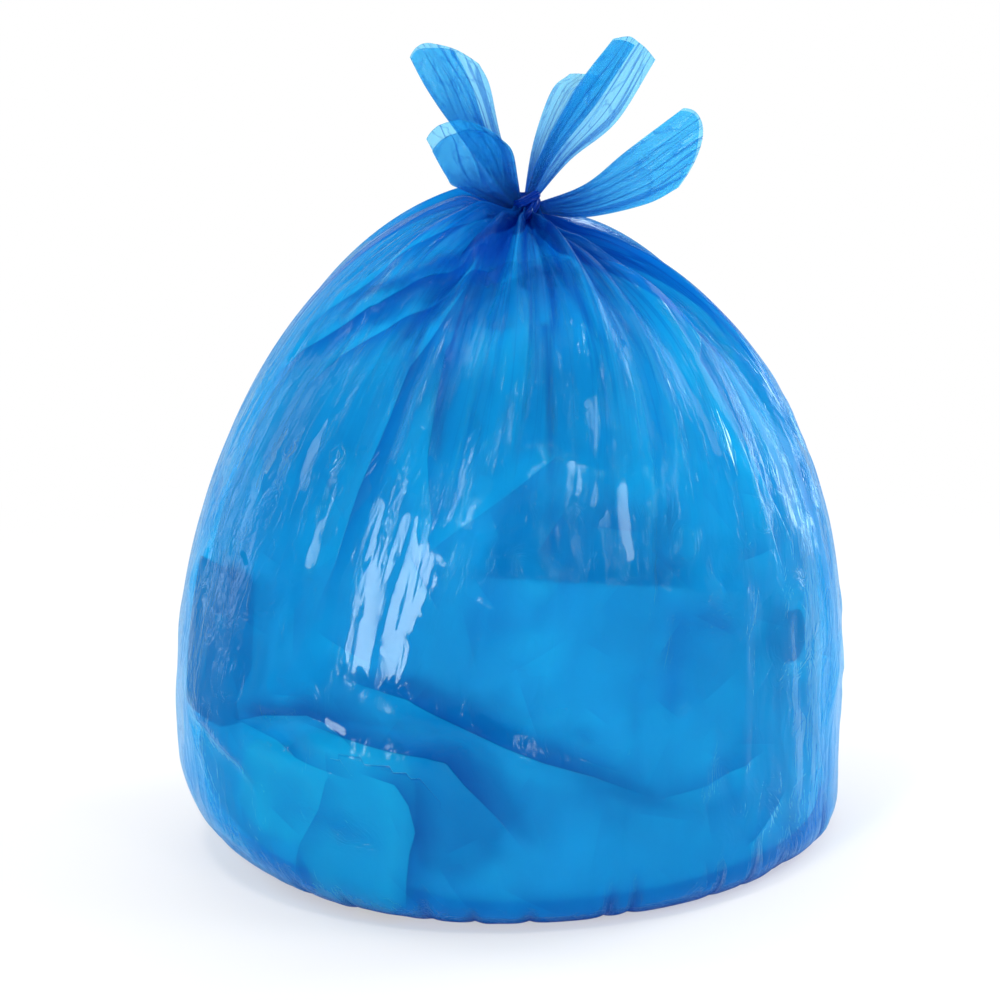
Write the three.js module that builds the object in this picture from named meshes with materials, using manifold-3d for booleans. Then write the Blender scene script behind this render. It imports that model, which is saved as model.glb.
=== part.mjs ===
// A refuse sack of blown film, filled, gathered at the mouth and tied, so that the wave-cut mouth makes ears.
// It is one piece of film round its load, so it is one closed solid. Millimetres, +Z up, with the front at -Y.
// The origin is the middle of the flat base. Angles run round the sack from +X, on the right, to +Y.
import * as THREE from 'three';
import { mergeVertices } from 'three/addons/utils/BufferGeometryUtils.js';
import Module from 'manifold-3d';

// Body: an upright belly on a flat base, under a dome whose left shoulder stands higher than its right
const WIDTH = 503;
const DEPTH = 430;
const BELLY_HEIGHT = 120;
const LEFT_SHOULDER = 506;
const RIGHT_SHOULDER = 474;
const LEFT_EDGE = 92;
const RIGHT_EDGE = 26;
const FRONT_SKEW = 0.16;

// Neck: where the film turns up out of the dome and goes into the knot
const KNOT_HEIGHT = 490;
const NECK_RADIUS = 9;
const NECK_RIGHT = 8;
const NECK_FORWARD = 40;
const GATHER_RADIUS = 46;
const GATHER_DIP = 12;

// Gathers: small folds of uneven width that run down from the neck and fade towards the belly
const GATHER_COUNTS = [11, 17, 25];
const GATHER_TURNS = [0.6, 2.3, 4.4];
const GATHER_DEPTH = 14;
const GATHER_REACH = 190;
const DEEPEST_SHARE = 0.4;

// Smooth shoulder: the side where the film is drawn up in a puff, with its angle, its spread and the gathering it lacks
const SMOOTH_ANGLE = 195;
const SMOOTH_SPREAD = 40;
const SMOOTH_SHARE = 0.85;

// Main folds: valleys at set angles in degrees, as wide as their spread in degrees and as long as their reach
const FOLDS = [
  { angle: 207, spread: 9, depth: 6, reach: 300 },
  { angle: 238, spread: 6, depth: 11, reach: 210 },
  { angle: 258, spread: 5, depth: 8, reach: 330 },
  { angle: 284, spread: 6, depth: 11, reach: 260 },
  { angle: 312, spread: 5, depth: 11, reach: 300 },
  { angle: 336, spread: 7, depth: 14, reach: 360 },
  { angle: 14, spread: 7, depth: 12, reach: 250 },
  { angle: 52, spread: 8, depth: 16, reach: 310 },
  { angle: 95, spread: 7, depth: 12, reach: 240 },
  { angle: 131, spread: 8, depth: 16, reach: 320 },
  { angle: 170, spread: 7, depth: 6, reach: 260 },
];

// Ledges: where a sheet of film hangs over the film beside it. A path has distances from the knot along the film, and
// degrees. The film stands out by the height on the right of the path, seen from outside, and in by it on the left.
const LEDGE_SOFTNESS = 14;
const LEDGES = [
  {
    height: 6,
    spread: 40,
    path: [[30, 256], [81, 252], [102, 240], [130, 231], [154, 225], [179, 214], [207, 206], [250, 198]],
  },
  { height: 3, spread: 24, path: [[80, 258], [122, 251], [158, 247], [195, 243], [236, 243], [341, 242]] },
  { height: 3, spread: 24, path: [[40, 312], [100, 322], [170, 331], [315, 342]] },
  { height: 5, spread: 28, path: [[424, 250], [439, 264], [447, 272], [467, 281], [488, 292], [516, 303]] },
  { height: 6, spread: 30, path: [[458, 240], [467, 258], [471, 265], [492, 272], [540, 280]] },
  { height: -4, spread: 20, path: [[468, 224], [460, 232], [451, 243], [459, 251], [466, 258]] },
];

// Bulges: where the load inside stands against the film, with paths as above
const BULGES = [
  { height: 5, spread: 30, path: [[350, 276], [360, 292], [376, 312]] },
  { height: 7, spread: 44, path: [[446, 247], [450, 255]] },
  { height: 5, spread: 40, path: [[470, 215], [480, 225]] },
];

// Knot: two bights of film round each other and round the gathered film
const KNOT_RADIUS = 8;
const KNOT_BAND = 5;
const KNOT_TILT = 0.45;

// Ears: lobes of the mouth, each between two edges that start in the knot and are given from its middle.
// The tip is how far the end bows out between the edges, and the cup is how far the lobe is hollowed.
const EAR_FILM = 1.6;
const EAR_RIPPLE = 2.4;
const EAR_RIPPLES = 5;
const EARS = [
  {
    left: [[-8, 0, 0], [-51, 12, 54], [-71, 20, 82], [-83, 24, 104]],
    right: [[-4, 2, 4], [-18, 14, 49], [-26, 24, 84], [-34, 26, 100]],
    tip: 13,
    cup: 10,
  },
  {
    left: [[-8, -2, -3], [-48, -14, 16], [-57, -22, 27], [-70, -34, 53]],
    right: [[-3, -4, 2], [-6, -12, 23], [-10, -26, 44], [-19, -32, 54]],
    tip: 8,
    cup: 14,
  },
  {
    left: [[-2, 0, 2], [11, 2, 39], [36, 5, 85], [62, 8, 119]],
    right: [[4, -2, 2], [31, -6, 34], [64, -8, 62], [91, -4, 105]],
    tip: 5,
    cup: -9,
  },
  {
    left: [[-2, 4, 2], [5, 8, 44], [18, 13, 81], [31, 15, 93]],
    right: [[2, 4, 2], [18, 6, 40], [44, 10, 79], [56, 10, 88]],
    tip: 4,
    cup: 4,
  },
  {
    left: [[4, -2, 2], [41, -8, 17], [70, -14, 41], [110, -22, 73]],
    right: [[4, -4, -3], [41, -16, -5], [84, -26, 6], [107, -28, 18]],
    tip: 20,
    cup: -10,
  },
];

// Facets: columns round the sack, and rows along the base, its edge, the side, the dome, the neck and the end
const COLUMNS = 108;
const ROWS = [3, 5, 3, 18, 6, 1];
const BAND_STEPS = 20;
const BAND_SIDES = 9;
const EAR_STEPS = 10;
const EAR_COLUMNS = 10;

const FILM = new THREE.MeshStandardMaterial({ color: 0x1c8ed6, roughness: 0.25, metalness: 0 });

const { clamp, lerp, smoothstep, degToRad, euclideanModulo } = THREE.MathUtils;
const knotCentre = new THREE.Vector3(NECK_RIGHT, -NECK_FORWARD, KNOT_HEIGHT);

const wasm = await Module();
wasm.setup();

// A closed geometry as a solid that can be joined
function solidOf(geometry) {
  const bare = geometry.clone();
  bare.deleteAttribute('normal');
  bare.deleteAttribute('uv');
  const merged = mergeVertices(bare, 1e-3);
  const vertProperties = new Float32Array(merged.attributes.position.array);
  const corners = [...merged.index.array];
  const triVerts = [];
  for (let i = 0; i < corners.length; i += 3) {
    const [a, b, c] = corners.slice(i, i + 3);
    if (a !== b && b !== c && c !== a) triVerts.push(a, b, c);
  }
  const mesh = new wasm.Mesh({ numProp: 3, vertProperties, triVerts: new Uint32Array(triVerts) });
  return new wasm.Manifold(mesh);
}

function geometryOf(solid) {
  const mesh = solid.getMesh();
  const geometry = new THREE.BufferGeometry();
  geometry.setAttribute('position', new THREE.BufferAttribute(mesh.vertProperties, 3));
  geometry.setIndex(new THREE.BufferAttribute(mesh.triVerts, 1));
  geometry.computeVertexNormals();
  return geometry;
}

// The sack's outline at one angle, from the middle of the base up into the knot: x is reach and y is height
function meridian(angle) {
  const leftness = (1 - Math.cos(angle)) / 2;
  const edge = lerp(RIGHT_EDGE, LEFT_EDGE, leftness * leftness);
  const rise = lerp(RIGHT_SHOULDER, LEFT_SHOULDER, leftness) - BELLY_HEIGHT;
  const reach = WIDTH / 2;
  const gatherAngle = Math.acos(GATHER_RADIUS / reach);
  const gatherHeight = BELLY_HEIGHT + rise * Math.sin(gatherAngle);
  const path = new THREE.Path();
  path.moveTo(0, 0);
  path.lineTo(reach - edge, 0);
  path.absellipse(reach - edge, edge, edge, edge, -Math.PI / 2, 0, false, 0);
  path.lineTo(reach, BELLY_HEIGHT);
  path.absellipse(0, BELLY_HEIGHT, reach, rise, 0, gatherAngle, false, 0);
  path.bezierCurveTo(
    GATHER_RADIUS - GATHER_DIP, gatherHeight,
    NECK_RADIUS, KNOT_HEIGHT - GATHER_DIP,
    NECK_RADIUS, KNOT_HEIGHT,
  );
  path.lineTo(0, KNOT_HEIGHT);
  return path;
}

// The turn from an angle in degrees to this angle, at most half a turn either way
function turnFrom(degrees, angle) {
  return euclideanModulo(angle - degToRad(degrees) + Math.PI, 2 * Math.PI) - Math.PI;
}

// How far a small gather stands out of the sack at this angle, from -1 in a valley to 1 on a ridge
function gatherWave(angle) {
  const waves = GATHER_COUNTS.map((count, i) => Math.cos(count * angle + GATHER_TURNS[i]));
  const across = turnFrom(SMOOTH_ANGLE, angle) / degToRad(SMOOTH_SPREAD);
  const share = 1 - SMOOTH_SHARE * Math.exp(-across * across);
  return (share * waves.reduce((sum, wave) => sum + wave, 0)) / waves.length;
}

// How deep the main folds are at this angle, this far from the knot along the film
function foldDepth(angle, fromKnot) {
  const depths = FOLDS.map((fold) => {
    const across = turnFrom(fold.angle, angle) / degToRad(fold.spread);
    return fold.depth * Math.exp(-across * across) * (1 - smoothstep(fromKnot, 0, fold.reach));
  });
  return depths.reduce((sum, depth) => sum + depth, 0);
}

// How far a place on the film is from a path on it, below nothing on the path's left, and how far down the path
function fromPath(path, angle, fromKnot, radius) {
  const first = path[0][1];
  const places = path.map(([distance, degrees]) => {
    const turn = degToRad(degrees - first) - turnFrom(first, angle);
    return new THREE.Vector2(turn * radius, distance - fromKnot);
  });
  let off = Infinity;
  let way = 0;
  for (let step = 1; step < places.length; step++) {
    const start = places[step - 1];
    const along = places[step].clone().sub(start);
    const share = clamp(-start.dot(along) / along.lengthSq(), 0, 1);
    const distance = start.clone().addScaledVector(along, share).length();
    if (distance < Math.abs(off)) {
      off = start.cross(along) < 0 ? -distance : distance;
      way = (step - 1 + share) / (places.length - 1);
    }
  }
  return { off, way };
}

// How far the ledges and the bulges stand out of the sack at this angle, this far from the knot along the film
function filmRelief(angle, fromKnot, reach) {
  const radius = (reach * (1 + DEPTH / WIDTH)) / 2;
  const ledges = LEDGES.map(({ height, spread, path }) => {
    const { off, way } = fromPath(path, angle, fromKnot, radius);
    const taper = smoothstep(way, 0, 0.25) * (1 - smoothstep(way, 0.55, 1));
    return height * taper * Math.tanh(off / LEDGE_SOFTNESS) * Math.exp(-((off / spread) ** 2));
  });
  const bulges = BULGES.map(({ height, spread, path }) => {
    const { off } = fromPath(path, angle, fromKnot, radius);
    return height * Math.exp(-((off / spread) ** 2));
  });
  return [...ledges, ...bulges].reduce((sum, part) => sum + part, 0);
}

// One column of the body, from the knot down: the outline at its angle, folded and leaning to the knot
function columnPoints(angle) {
  const path = meridian(angle);
  const whole = path.getLength();
  const points = [];
  let below = 0;
  path.curves.forEach((curve, part) => {
    for (let step = part === 0 ? 0 : 1; step <= ROWS[part]; step++) {
      const share = step / ROWS[part];
      const { x: reach, y: height } = curve.getPointAt(share);
      const along = curve.getTangentAt(share);
      const fromKnot = whole - below - share * curve.getLength();
      const gather = GATHER_DEPTH * gatherWave(angle) * Math.exp(-fromKnot / GATHER_REACH);
      const deepest = DEEPEST_SHARE * reach;
      const depth = foldDepth(angle, fromKnot) - gather - filmRelief(angle, fromKnot, reach);
      const inward = height > 0 ? clamp(depth, -deepest, deepest) : 0;
      const lift = smoothstep(height, BELLY_HEIGHT, KNOT_HEIGHT);
      const r = reach - inward * along.y;
      const y = r * Math.sin(angle) * (DEPTH / WIDTH);
      const x = r * Math.cos(angle) + FRONT_SKEW * y * (1 - lift);
      const z = height + inward * along.x;
      points.unshift(new THREE.Vector3(x + NECK_RIGHT * lift, y - NECK_FORWARD * lift, z));
    }
    below += curve.getLength();
  });
  return points;
}

// The body is a sphere whose columns take those places
function bodyGeometry() {
  const rows = ROWS.reduce((sum, count) => sum + count, 0);
  const geometry = new THREE.SphereGeometry(1, COLUMNS, rows);
  for (let column = 0; column <= COLUMNS; column++) {
    const angle = (2 * Math.PI * (column % COLUMNS)) / COLUMNS;
    columnPoints(angle).forEach((point, row) => {
      geometry.attributes.position.setXYZ(row * (COLUMNS + 1) + column, point.x, point.y, point.z);
    });
  }
  return geometry;
}

// One bight of the knot: a ring leaning over the neck to one side
function bightGeometry(side) {
  const ring = new THREE.TorusGeometry(KNOT_RADIUS, KNOT_BAND, BAND_SIDES, BAND_STEPS);
  ring.rotateX(Math.PI / 2 + side * KNOT_TILT);
  ring.rotateY(side * KNOT_TILT);
  ring.translate(0, 0, (side * KNOT_BAND) / 2);
  return ring;
}

// The gathered film inside the bights, drawn up tight
function stemGeometry() {
  return new THREE.SphereGeometry(KNOT_RADIUS + KNOT_BAND / 2, BAND_STEPS, BAND_SIDES);
}

// One ear: a box of film stretched between the two edges, bowed at the tip, hollowed and rippled across
function earGeometry({ left, right, tip, cup }) {
  const [leftEdge, rightEdge] = [left, right].map((points) => {
    return new THREE.CatmullRomCurve3(points.map((point) => new THREE.Vector3(...point)));
  });
  const geometry = new THREE.BoxGeometry(1, 1, 1, EAR_STEPS, EAR_COLUMNS, 1);
  const position = geometry.attributes.position;
  for (let i = 0; i < position.count; i++) {
    const along = position.getX(i) + 0.5;
    const across = position.getY(i) + 0.5;
    const through = position.getZ(i) * EAR_FILM;
    const from = leftEdge.getPoint(along);
    const to = rightEdge.getPoint(along);
    const forward = leftEdge.getTangent(along).add(rightEdge.getTangent(along)).normalize();
    const sideways = to.clone().sub(from).normalize();
    const outward = forward.clone().cross(sideways).normalize();
    const bow = 4 * across * (1 - across);
    const ripple = EAR_RIPPLE * (1 - along) * Math.sqrt(along) * Math.cos(EAR_RIPPLES * Math.PI * across);
    const point = from.lerp(to, across);
    point.addScaledVector(forward, tip * bow * along * along);
    point.addScaledVector(outward, through + ripple + cup * bow * along);
    position.setXYZ(i, point.x, point.y, point.z);
  }
  return geometry;
}

function sackMesh() {
  const tied = [stemGeometry(), bightGeometry(1), bightGeometry(-1), ...EARS.map(earGeometry)];
  tied.forEach((geometry) => geometry.translate(...knotCentre));
  const sack = tied.map(solidOf).reduce((whole, piece) => whole.add(piece), solidOf(bodyGeometry()));
  const mesh = new THREE.Mesh(geometryOf(sack), FILM);
  mesh.name = 'sack';
  return mesh;
}

const refuseSack = new THREE.Group();
refuseSack.add(sackMesh());

export default refuseSack;
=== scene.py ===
# A filled refuse sack of thin blue film, gathered and tied: the film and its folds, the knot, ears and load.
# Shapes are worked out in millimetres, in the sack's own frame, and meshes are made in metres.
import math

import bpy
import numpy as np
from mathutils import Euler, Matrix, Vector


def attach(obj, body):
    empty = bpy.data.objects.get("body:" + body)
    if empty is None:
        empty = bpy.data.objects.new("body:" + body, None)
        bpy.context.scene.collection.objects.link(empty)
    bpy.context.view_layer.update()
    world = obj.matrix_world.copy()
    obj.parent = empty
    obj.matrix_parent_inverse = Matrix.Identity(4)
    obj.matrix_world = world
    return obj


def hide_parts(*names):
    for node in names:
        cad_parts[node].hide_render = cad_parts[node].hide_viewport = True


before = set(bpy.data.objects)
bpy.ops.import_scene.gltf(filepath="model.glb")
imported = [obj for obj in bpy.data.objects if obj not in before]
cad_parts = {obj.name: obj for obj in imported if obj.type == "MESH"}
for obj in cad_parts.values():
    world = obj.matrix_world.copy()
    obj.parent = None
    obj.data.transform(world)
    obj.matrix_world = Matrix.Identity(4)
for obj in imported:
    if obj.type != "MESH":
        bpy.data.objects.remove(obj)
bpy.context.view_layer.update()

MM = 0.001
TURN = 2 * math.pi
PHASES = 6.3
FAR = 1e9
TINY = 1e-9

# Body: an upright belly on a flat base, under a dome whose left shoulder stands higher than its right
WIDTH = 503
DEPTH = 430
BELLY_HEIGHT = 120
LEFT_SHOULDER = 506
RIGHT_SHOULDER = 474
LEFT_EDGE = 92
RIGHT_EDGE = 26
FRONT_SKEW = 0.16
BASE_SHARE = 0.35

# Neck: where the film turns up out of the dome and goes into the knot
KNOT = np.array([8.0, -40.0, 490.0])
NECK_RADIUS = 9
GATHER_RADIUS = 46
GATHER_DIP = 12
GATHER_START = GATHER_RADIUS - GATHER_DIP

# Gathers: small folds of uneven width that run down from the neck and fade towards the belly
GATHER_COUNTS = (11, 17, 25)
GATHER_TURNS = (0.6, 2.3, 4.4)
GATHER_DEPTH = 14
GATHER_REACH = 190
DEEPEST_SHARE = 0.4
FOLDS_END = 60

# Smooth shoulder: where the film is drawn up in a puff. Its angle, its spread and the gathering that it lacks.
SMOOTH_ANGLE = 195
SMOOTH_SPREAD = 40
SMOOTH_SHARE = 0.85

# Main folds: angle in degrees, spread in degrees, depth and reach
FOLDS = (
    (207, 9, 6, 300),
    (238, 6, 11, 210),
    (258, 5, 8, 330),
    (284, 6, 11, 260),
    (312, 5, 11, 300),
    (336, 7, 14, 360),
    (14, 7, 12, 250),
    (52, 8, 16, 310),
    (95, 7, 12, 240),
    (131, 8, 16, 320),
    (170, 7, 6, 260),
)

# Film grid: columns round the sack and rows from the knot to the flat of the base
COLUMNS = 520
ROWS = 190
OUTLINE_STEPS = 60
BASE_FLAT = 100

# Paths on the film: distances from the knot and angles in degrees
DRAPE_EDGE = ((81, 252), (102, 240), (130, 231), (154, 225), (179, 214), (207, 206), (250, 198))
RIGHT_LINE = ((40, 312), (100, 322), (170, 331), (315, 342))
LOWER_LINE = ((466, 226), (471, 232), (475, 237), (484, 241), (488, 247), (494, 254))
LEFT_LINE = ((478, 212), (484, 218), (500, 228), (524, 234))
# Ledges: where a sheet of film hangs over the film beside it. Each has a height, how sharp it is, how far it
# spreads to each side and a path. The upper side is on the right of the path, seen from outside.
LEDGES = (
    (6, 5, 40, ((30, 256), *DRAPE_EDGE)),
    (3, 5, 24, ((80, 258), (122, 251), (158, 247), (195, 243), (236, 243), (288, 242), (341, 242))),
    (2.5, 4, 20, ((60, 232), (110, 222), (160, 209), (200, 200))),
    (3, 5, 24, RIGHT_LINE),
    (5, 9, 28, ((424, 250), (431, 257), (439, 264), (447, 272), (467, 281), (488, 292), (516, 303))),
    (6, 9, 30, ((458, 240), (463, 246), (467, 258), (471, 265), (492, 272), (540, 280))),
    (-4, 7, 20, ((468, 224), (460, 232), (451, 243), (459, 251), (466, 258))),
    (-3, 4, 14, LEFT_LINE),
    (3, 4, 16, LOWER_LINE),
)
# Shares of a path over which a ledge rises, and from which on it falls
LEDGE_WINDOW = (0.25, 0.55)
# Layers of film that lie everywhere, and painted shade in the valleys of wrinkles with painted light on their
# crests: how many more layers there are for each millimetre that a wrinkle is deep, and the depths where that
# holds
FILM_LAYERS = 0.2
WRINKLE_SHADE_LAYERS = 0.2
WRINKLE_DEPTHS = (-1.5, 2.5)
# Creases: sharp lines of the film, in sets whose lines keep apart, with painted shade on their left, where film
# also overlaps, and painted light on their right. Each has the layers that its left side has more and its right
# side has less, and a path.
CREASE_NEAR = 24
CREASE_CLOSE = 0.4 * CREASE_NEAR
CREASE_WINDOW = (0.2, 0.65)
CREASES = {
    "crease_a": (
        (2.2, 0.5, ((30, 257), *DRAPE_EDGE)),
        (0.5, 0.3, RIGHT_LINE),
        (1.8, 0.5, ((418, 246), (431, 260), (439, 264), (451, 270), (475, 282), (488, 290), (516, 303))),
        (0.7, 0.35, LOWER_LINE),
        (0.4, 0.3, ((40, 281), (86, 280), (163, 277), (256, 278))),
    ),
    "crease_b": (
        (1.2, 0.4, ((60, 258), (122, 251), (158, 247), (195, 243), (236, 243), (288, 242), (341, 242),
                    (400, 240))),
        (1.0, 0.4, ((40, 236), (110, 222), (160, 209), (200, 200))),
        (1.6, 0.5, ((456, 240), (463, 251), (467, 257), (471, 264), (475, 267), (492, 270), (516, 275),
                    (550, 281))),
        (0.4, 0.3, LEFT_LINE),
        (0.4, 0.4, ((106, 342), (187, 320), (280, 326), (358, 334))),
        (0.3, 0.5, ((252, 279), (256, 278), (284, 270), (317, 261), (330, 258))),
        (1.3, 0.4, ((484, 252), (492, 259), (508, 261), (528, 262), (544, 261), (581, 260), (600, 259))),
    ),
    "crease_c": (
        (1.2, 0.3, ((471, 226), (459, 234), (451, 243), (455, 247), (463, 250), (480, 256))),
        (1.6, 0.4, ((40, 259), (96, 256), (118, 246), (146, 238), (172, 230), (200, 222), (240, 214))),
        (0.6, 0.3, ((120, 256), (179, 251), (260, 254), (305, 258), (340, 258))),
        (0.4, 0.4, ((100, 322), (158, 320), (219, 321), (321, 326), (380, 330))),
        (0.4, 0.3, ((490, 248), (496, 247), (520, 245), (549, 241), (573, 239), (600, 236))),
        (0.4, 0.4, ((512, 300), (508, 310), (500, 318), (494, 324))),
        (0.4, 0.4, ((566, 319), (561, 321), (540, 327), (530, 330))),
    ),
}
# Small creases of the belly: how far apart they lie and where, and their length, layers of painted shade and
# painted light, shift and lean
SMALL_CREASES = "crease_d"
SMALL_CREASE_GAP = 46
SMALL_CREASE_ALONG = (280, 610)
SMALL_CREASE_LENGTH = (18, 60)
SMALL_CREASE_SHADE_LAYERS = (0.05, 0.22)
SMALL_CREASE_SHIFT = (0.35, 0.65)
SMALL_CREASE_LEAN = (0.5, 0.7)
# Glints: flat stretches of film that face a lamp. Each has a spread, its share of the shine, the way it faces
# and a path.
TO_LEFT = (-0.25, -0.95, 0.22)
TO_RIGHT = (0.27, -0.94, 0.2)
TO_SIDE = (0.7, -0.47, 0.53)
GLINTS = (
    (22, 1, (-0.23, -0.95, 0.23), ((330, 254), (400, 254))),
    (9, 0.8, (-0.22, -0.95, 0.22), ((300, 248), (330, 247))),
    (15, 0.3, (-0.24, -0.96, 0.15), ((118, 254), (150, 252), (176, 256))),
    (9, 1, (0.25, -0.95, 0.2), ((266, 283), (282, 286))),
    (4.5, 1, TO_RIGHT, ((278, 292), (328, 294))),
    (2, 1, TO_RIGHT, ((286, 289), (318, 290))),
    (2, 0.9, TO_RIGHT, ((300, 296), (346, 297))),
    (6, 0.8, TO_RIGHT, ((262, 297), (296, 299))),
    (8, 0.9, (-0.26, -0.94, 0.2), ((276, 266), (300, 262))),
    (5, 0.6, (-0.2, -0.96, 0.22), ((290, 238), (345, 237))),
    (4, 0.6, (-0.25, -0.95, 0.2), ((240, 262), (300, 262))),
    (6, 0.6, TO_SIDE, ((118, 322), (187, 320), (250, 323))),
    (5, 0.5, TO_SIDE, ((150, 332), (230, 331), (330, 337))),
    (4, 0.5, TO_SIDE, ((170, 312), (260, 316))),
    (5, 0.4, TO_SIDE, ((230, 342), (330, 346), (390, 347))),
    (4, 0.8, (0.5, -0.72, 0.48), ((140, 305), (220, 306))),
    (3.5, 0.8, (0.5, -0.72, 0.48), ((180, 299), (240, 300))),
    (1.6, 1, (-0.26, -0.94, 0.2), ((256, 278), (284, 270), (312, 262))),
    (1.6, 0.9, (-0.21, -0.95, 0.23), ((328, 242), (350, 243), (374, 246))),
    (1.4, 0.8, (-0.2, -0.94, 0.27), ((396, 240), (420, 242), (448, 243))),
    (1.4, 0.7, (-0.18, -0.96, 0.23), ((352, 224), (380, 226), (408, 229))),
    (3, 0.7, (-0.18, -0.96, 0.23), ((352, 219), (358, 222))),
    (3, 0.9, (-0.25, -0.95, 0.21), ((299, 262), (306, 265))),
    (2.5, 0.9, TO_LEFT, ((355, 268), (361, 271))),
    (2.5, 0.8, TO_LEFT, ((326, 260), (334, 262))),
    (2, 0.8, TO_LEFT, ((331, 266), (336, 268))),
    (4, 0.9, (-0.2, -0.94, 0.28), ((453, 247), (458, 250))),
)
GLINT_NEAR = 30
GLINT_RAGGED = 2.3
# Shaded lines: film that lies in more than one layer. Each has a count of layers, a width and a path, along
# which it gets narrower and fainter.
LAYER_WIDTHS = (1.15, 0.4)
LAYER_COUNTS = (1, 0.3)
LAYER_END = 0.8
LAYERS = (
    (3.6, 7, ((40, 256), (65, 254), (85, 250), (93, 240), (106, 235), (122, 232), (134, 228), (154, 218),
              (207, 205))),
    (1.8, 4, ((60, 256), (85, 254), (118, 251), (138, 247), (158, 242), (195, 243), (228, 242))),
    (1.0, 5, ((180, 252), (199, 252), (232, 254), (268, 257))),
    (1.8, 2.5, ((30, 268), (73, 270), (118, 271), (154, 272), (175, 272))),
    (1.2, 6, ((95, 278), (126, 278), (146, 278), (160, 277))),
    (1.3, 2.5, ((150, 276), (211, 277), (264, 278), (280, 278))),
    (1.4, 3, ((41, 289), (57, 298), (110, 300), (150, 302), (190, 304))),
    (1.4, 3, ((40, 290), (89, 286), (134, 288), (170, 290))),
    (1.3, 5, ((60, 254), (126, 240), (167, 238), (205, 235))),
    (0.7, 4, ((107, 255), (190, 250), (290, 247))),
    (0.7, 3, ((20, 270), (110, 268), (160, 271))),
)
# Painted shade along the bottom of the sack where it meets the floor, where the film also turns under, as more
# layers: the layers, and the heights in millimetres between which it fades
BASE_CONTACT_SHADE = 2.4
BASE_START = 2
BASE_LINE = 12
KNOT_LAYERS = 2.0
KNOT_LAYERS_REACH = 26
FOLD_LAYERS = 0.14
FOLD_LAYERS_REACH = 110

# Lines: soft valleys and ridges of the film, with their depth inward, their spread and a path
LINES = (
    (-5, 12, ((254, 277), (258, 279))),
    (-2.6, 5, ((256, 278), (284, 270), (317, 261))),
    (-2.2, 4, ((256, 278), (264, 286))),
    (-1.6, 5, ((268, 279), (330, 284))),
    (-2.0, 6, ((338, 270), (346, 292), (366, 317))),
    (-5, 30, ((350, 276), (360, 292), (376, 312))),
    (3, 32, ((322, 254), (408, 255))),
    (-7, 44, ((446, 247), (450, 255))),
    (-5, 40, ((470, 215), (480, 225))),
    (-2.0, 6, ((372, 317), (520, 318))),
    (1.6, 7, ((392, 331), (540, 336))),
    (-1.8, 4, ((512, 302), (508, 310), (500, 318))),
    (-1.8, 3.5, ((561, 321), (540, 327))),
)
# A calm stretch, where the film is drawn smooth: the share of the wrinkles that goes, its spread and its path
CALM = (0.8, 26, ((325, 254), (405, 254)))
# Ridges: sharp crests that run down from the knot. Wrinkles: shorter ones on the belly. Tucks: at the base.
RIDGES = 420
RIDGE_START = (0, 170)
RIDGE_REACH = (80, 380)
RIDGE_SPREAD = (1.8, 5)
RIDGE_HEIGHT = 0.55
RIDGE_LEAN = 1.5
RIDGE_NARROW = (0.35, 250)
SMOOTH_RIDGES = 0.25
WRINKLES = 420
WRINKLES_START = 230
WRINKLE_LENGTH = (15, 110)
WRINKLE_SPREAD = (4, 14)
WRINKLE_HEIGHT = 0.9
WRINKLE_LEAN = 0.7
WRINKLE_WINDOW = (0.3, 0.7)
WRINKLES_END = BASE_FLAT + 30
TUCKS = 34
TUCK_LENGTH = (16, 62)
TUCK_SPREAD = (1.8, 4)
TUCK_DEPTH = 2.2
TUCK_SHIFT = (0.1, 0.9)
# Rims: where the relief starts by the knot and ends at the base
KNOT_RIM = 30
BASE_RIM = BASE_FLAT + 20
# Bands: soft radial stretches where gathered film lies in more layers, by the knot
BANDS = 110
BAND_REACH = (50, 270)
BAND_SPREAD = (0.35, 1.5)
BAND_LAYERS = (0.22, 1.1)
BAND_FADE = 0.3
# Slack of the film round the dome and along it, how far it may move for that, and in how many passes
SLACK_AROUND = 0.012
SLACK_REACH = 240
SLACK_ALONG = -0.001
SLACK_CAP = 5.0
SLACK_PASSES = 60

rng = np.random.default_rng(7)


def smoothstep(value, low, high):
    share = np.clip((value - low) / (high - low), 0, 1)
    return share * share * (3 - 2 * share)


def lerp(a, b, share):
    return a + (b - a) * share


def bell(value):
    return np.exp(-(value**2))


def flat_bell(value):
    return np.exp(-(value**4))


def turn_from(angles, angle):
    """How far round it is from an angle, from minus half a turn to half a turn."""
    return (angles - angle + math.pi) % TURN - math.pi


def window(way, start, end):
    """A share that rises over the first part of a way and falls from another part on."""
    return smoothstep(way, 0, start) * (1 - smoothstep(way, end, 1))


def lengths(vectors):
    return np.linalg.norm(vectors, axis=-1, keepdims=True)


def shoulder(angles):
    """The base's edge radius and the dome's rise at each angle."""
    leftness = (1 - np.cos(angles)) / 2
    edge = lerp(RIGHT_EDGE, LEFT_EDGE, leftness**2)
    return edge, lerp(RIGHT_SHOULDER, LEFT_SHOULDER, leftness) - BELLY_HEIGHT


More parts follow.
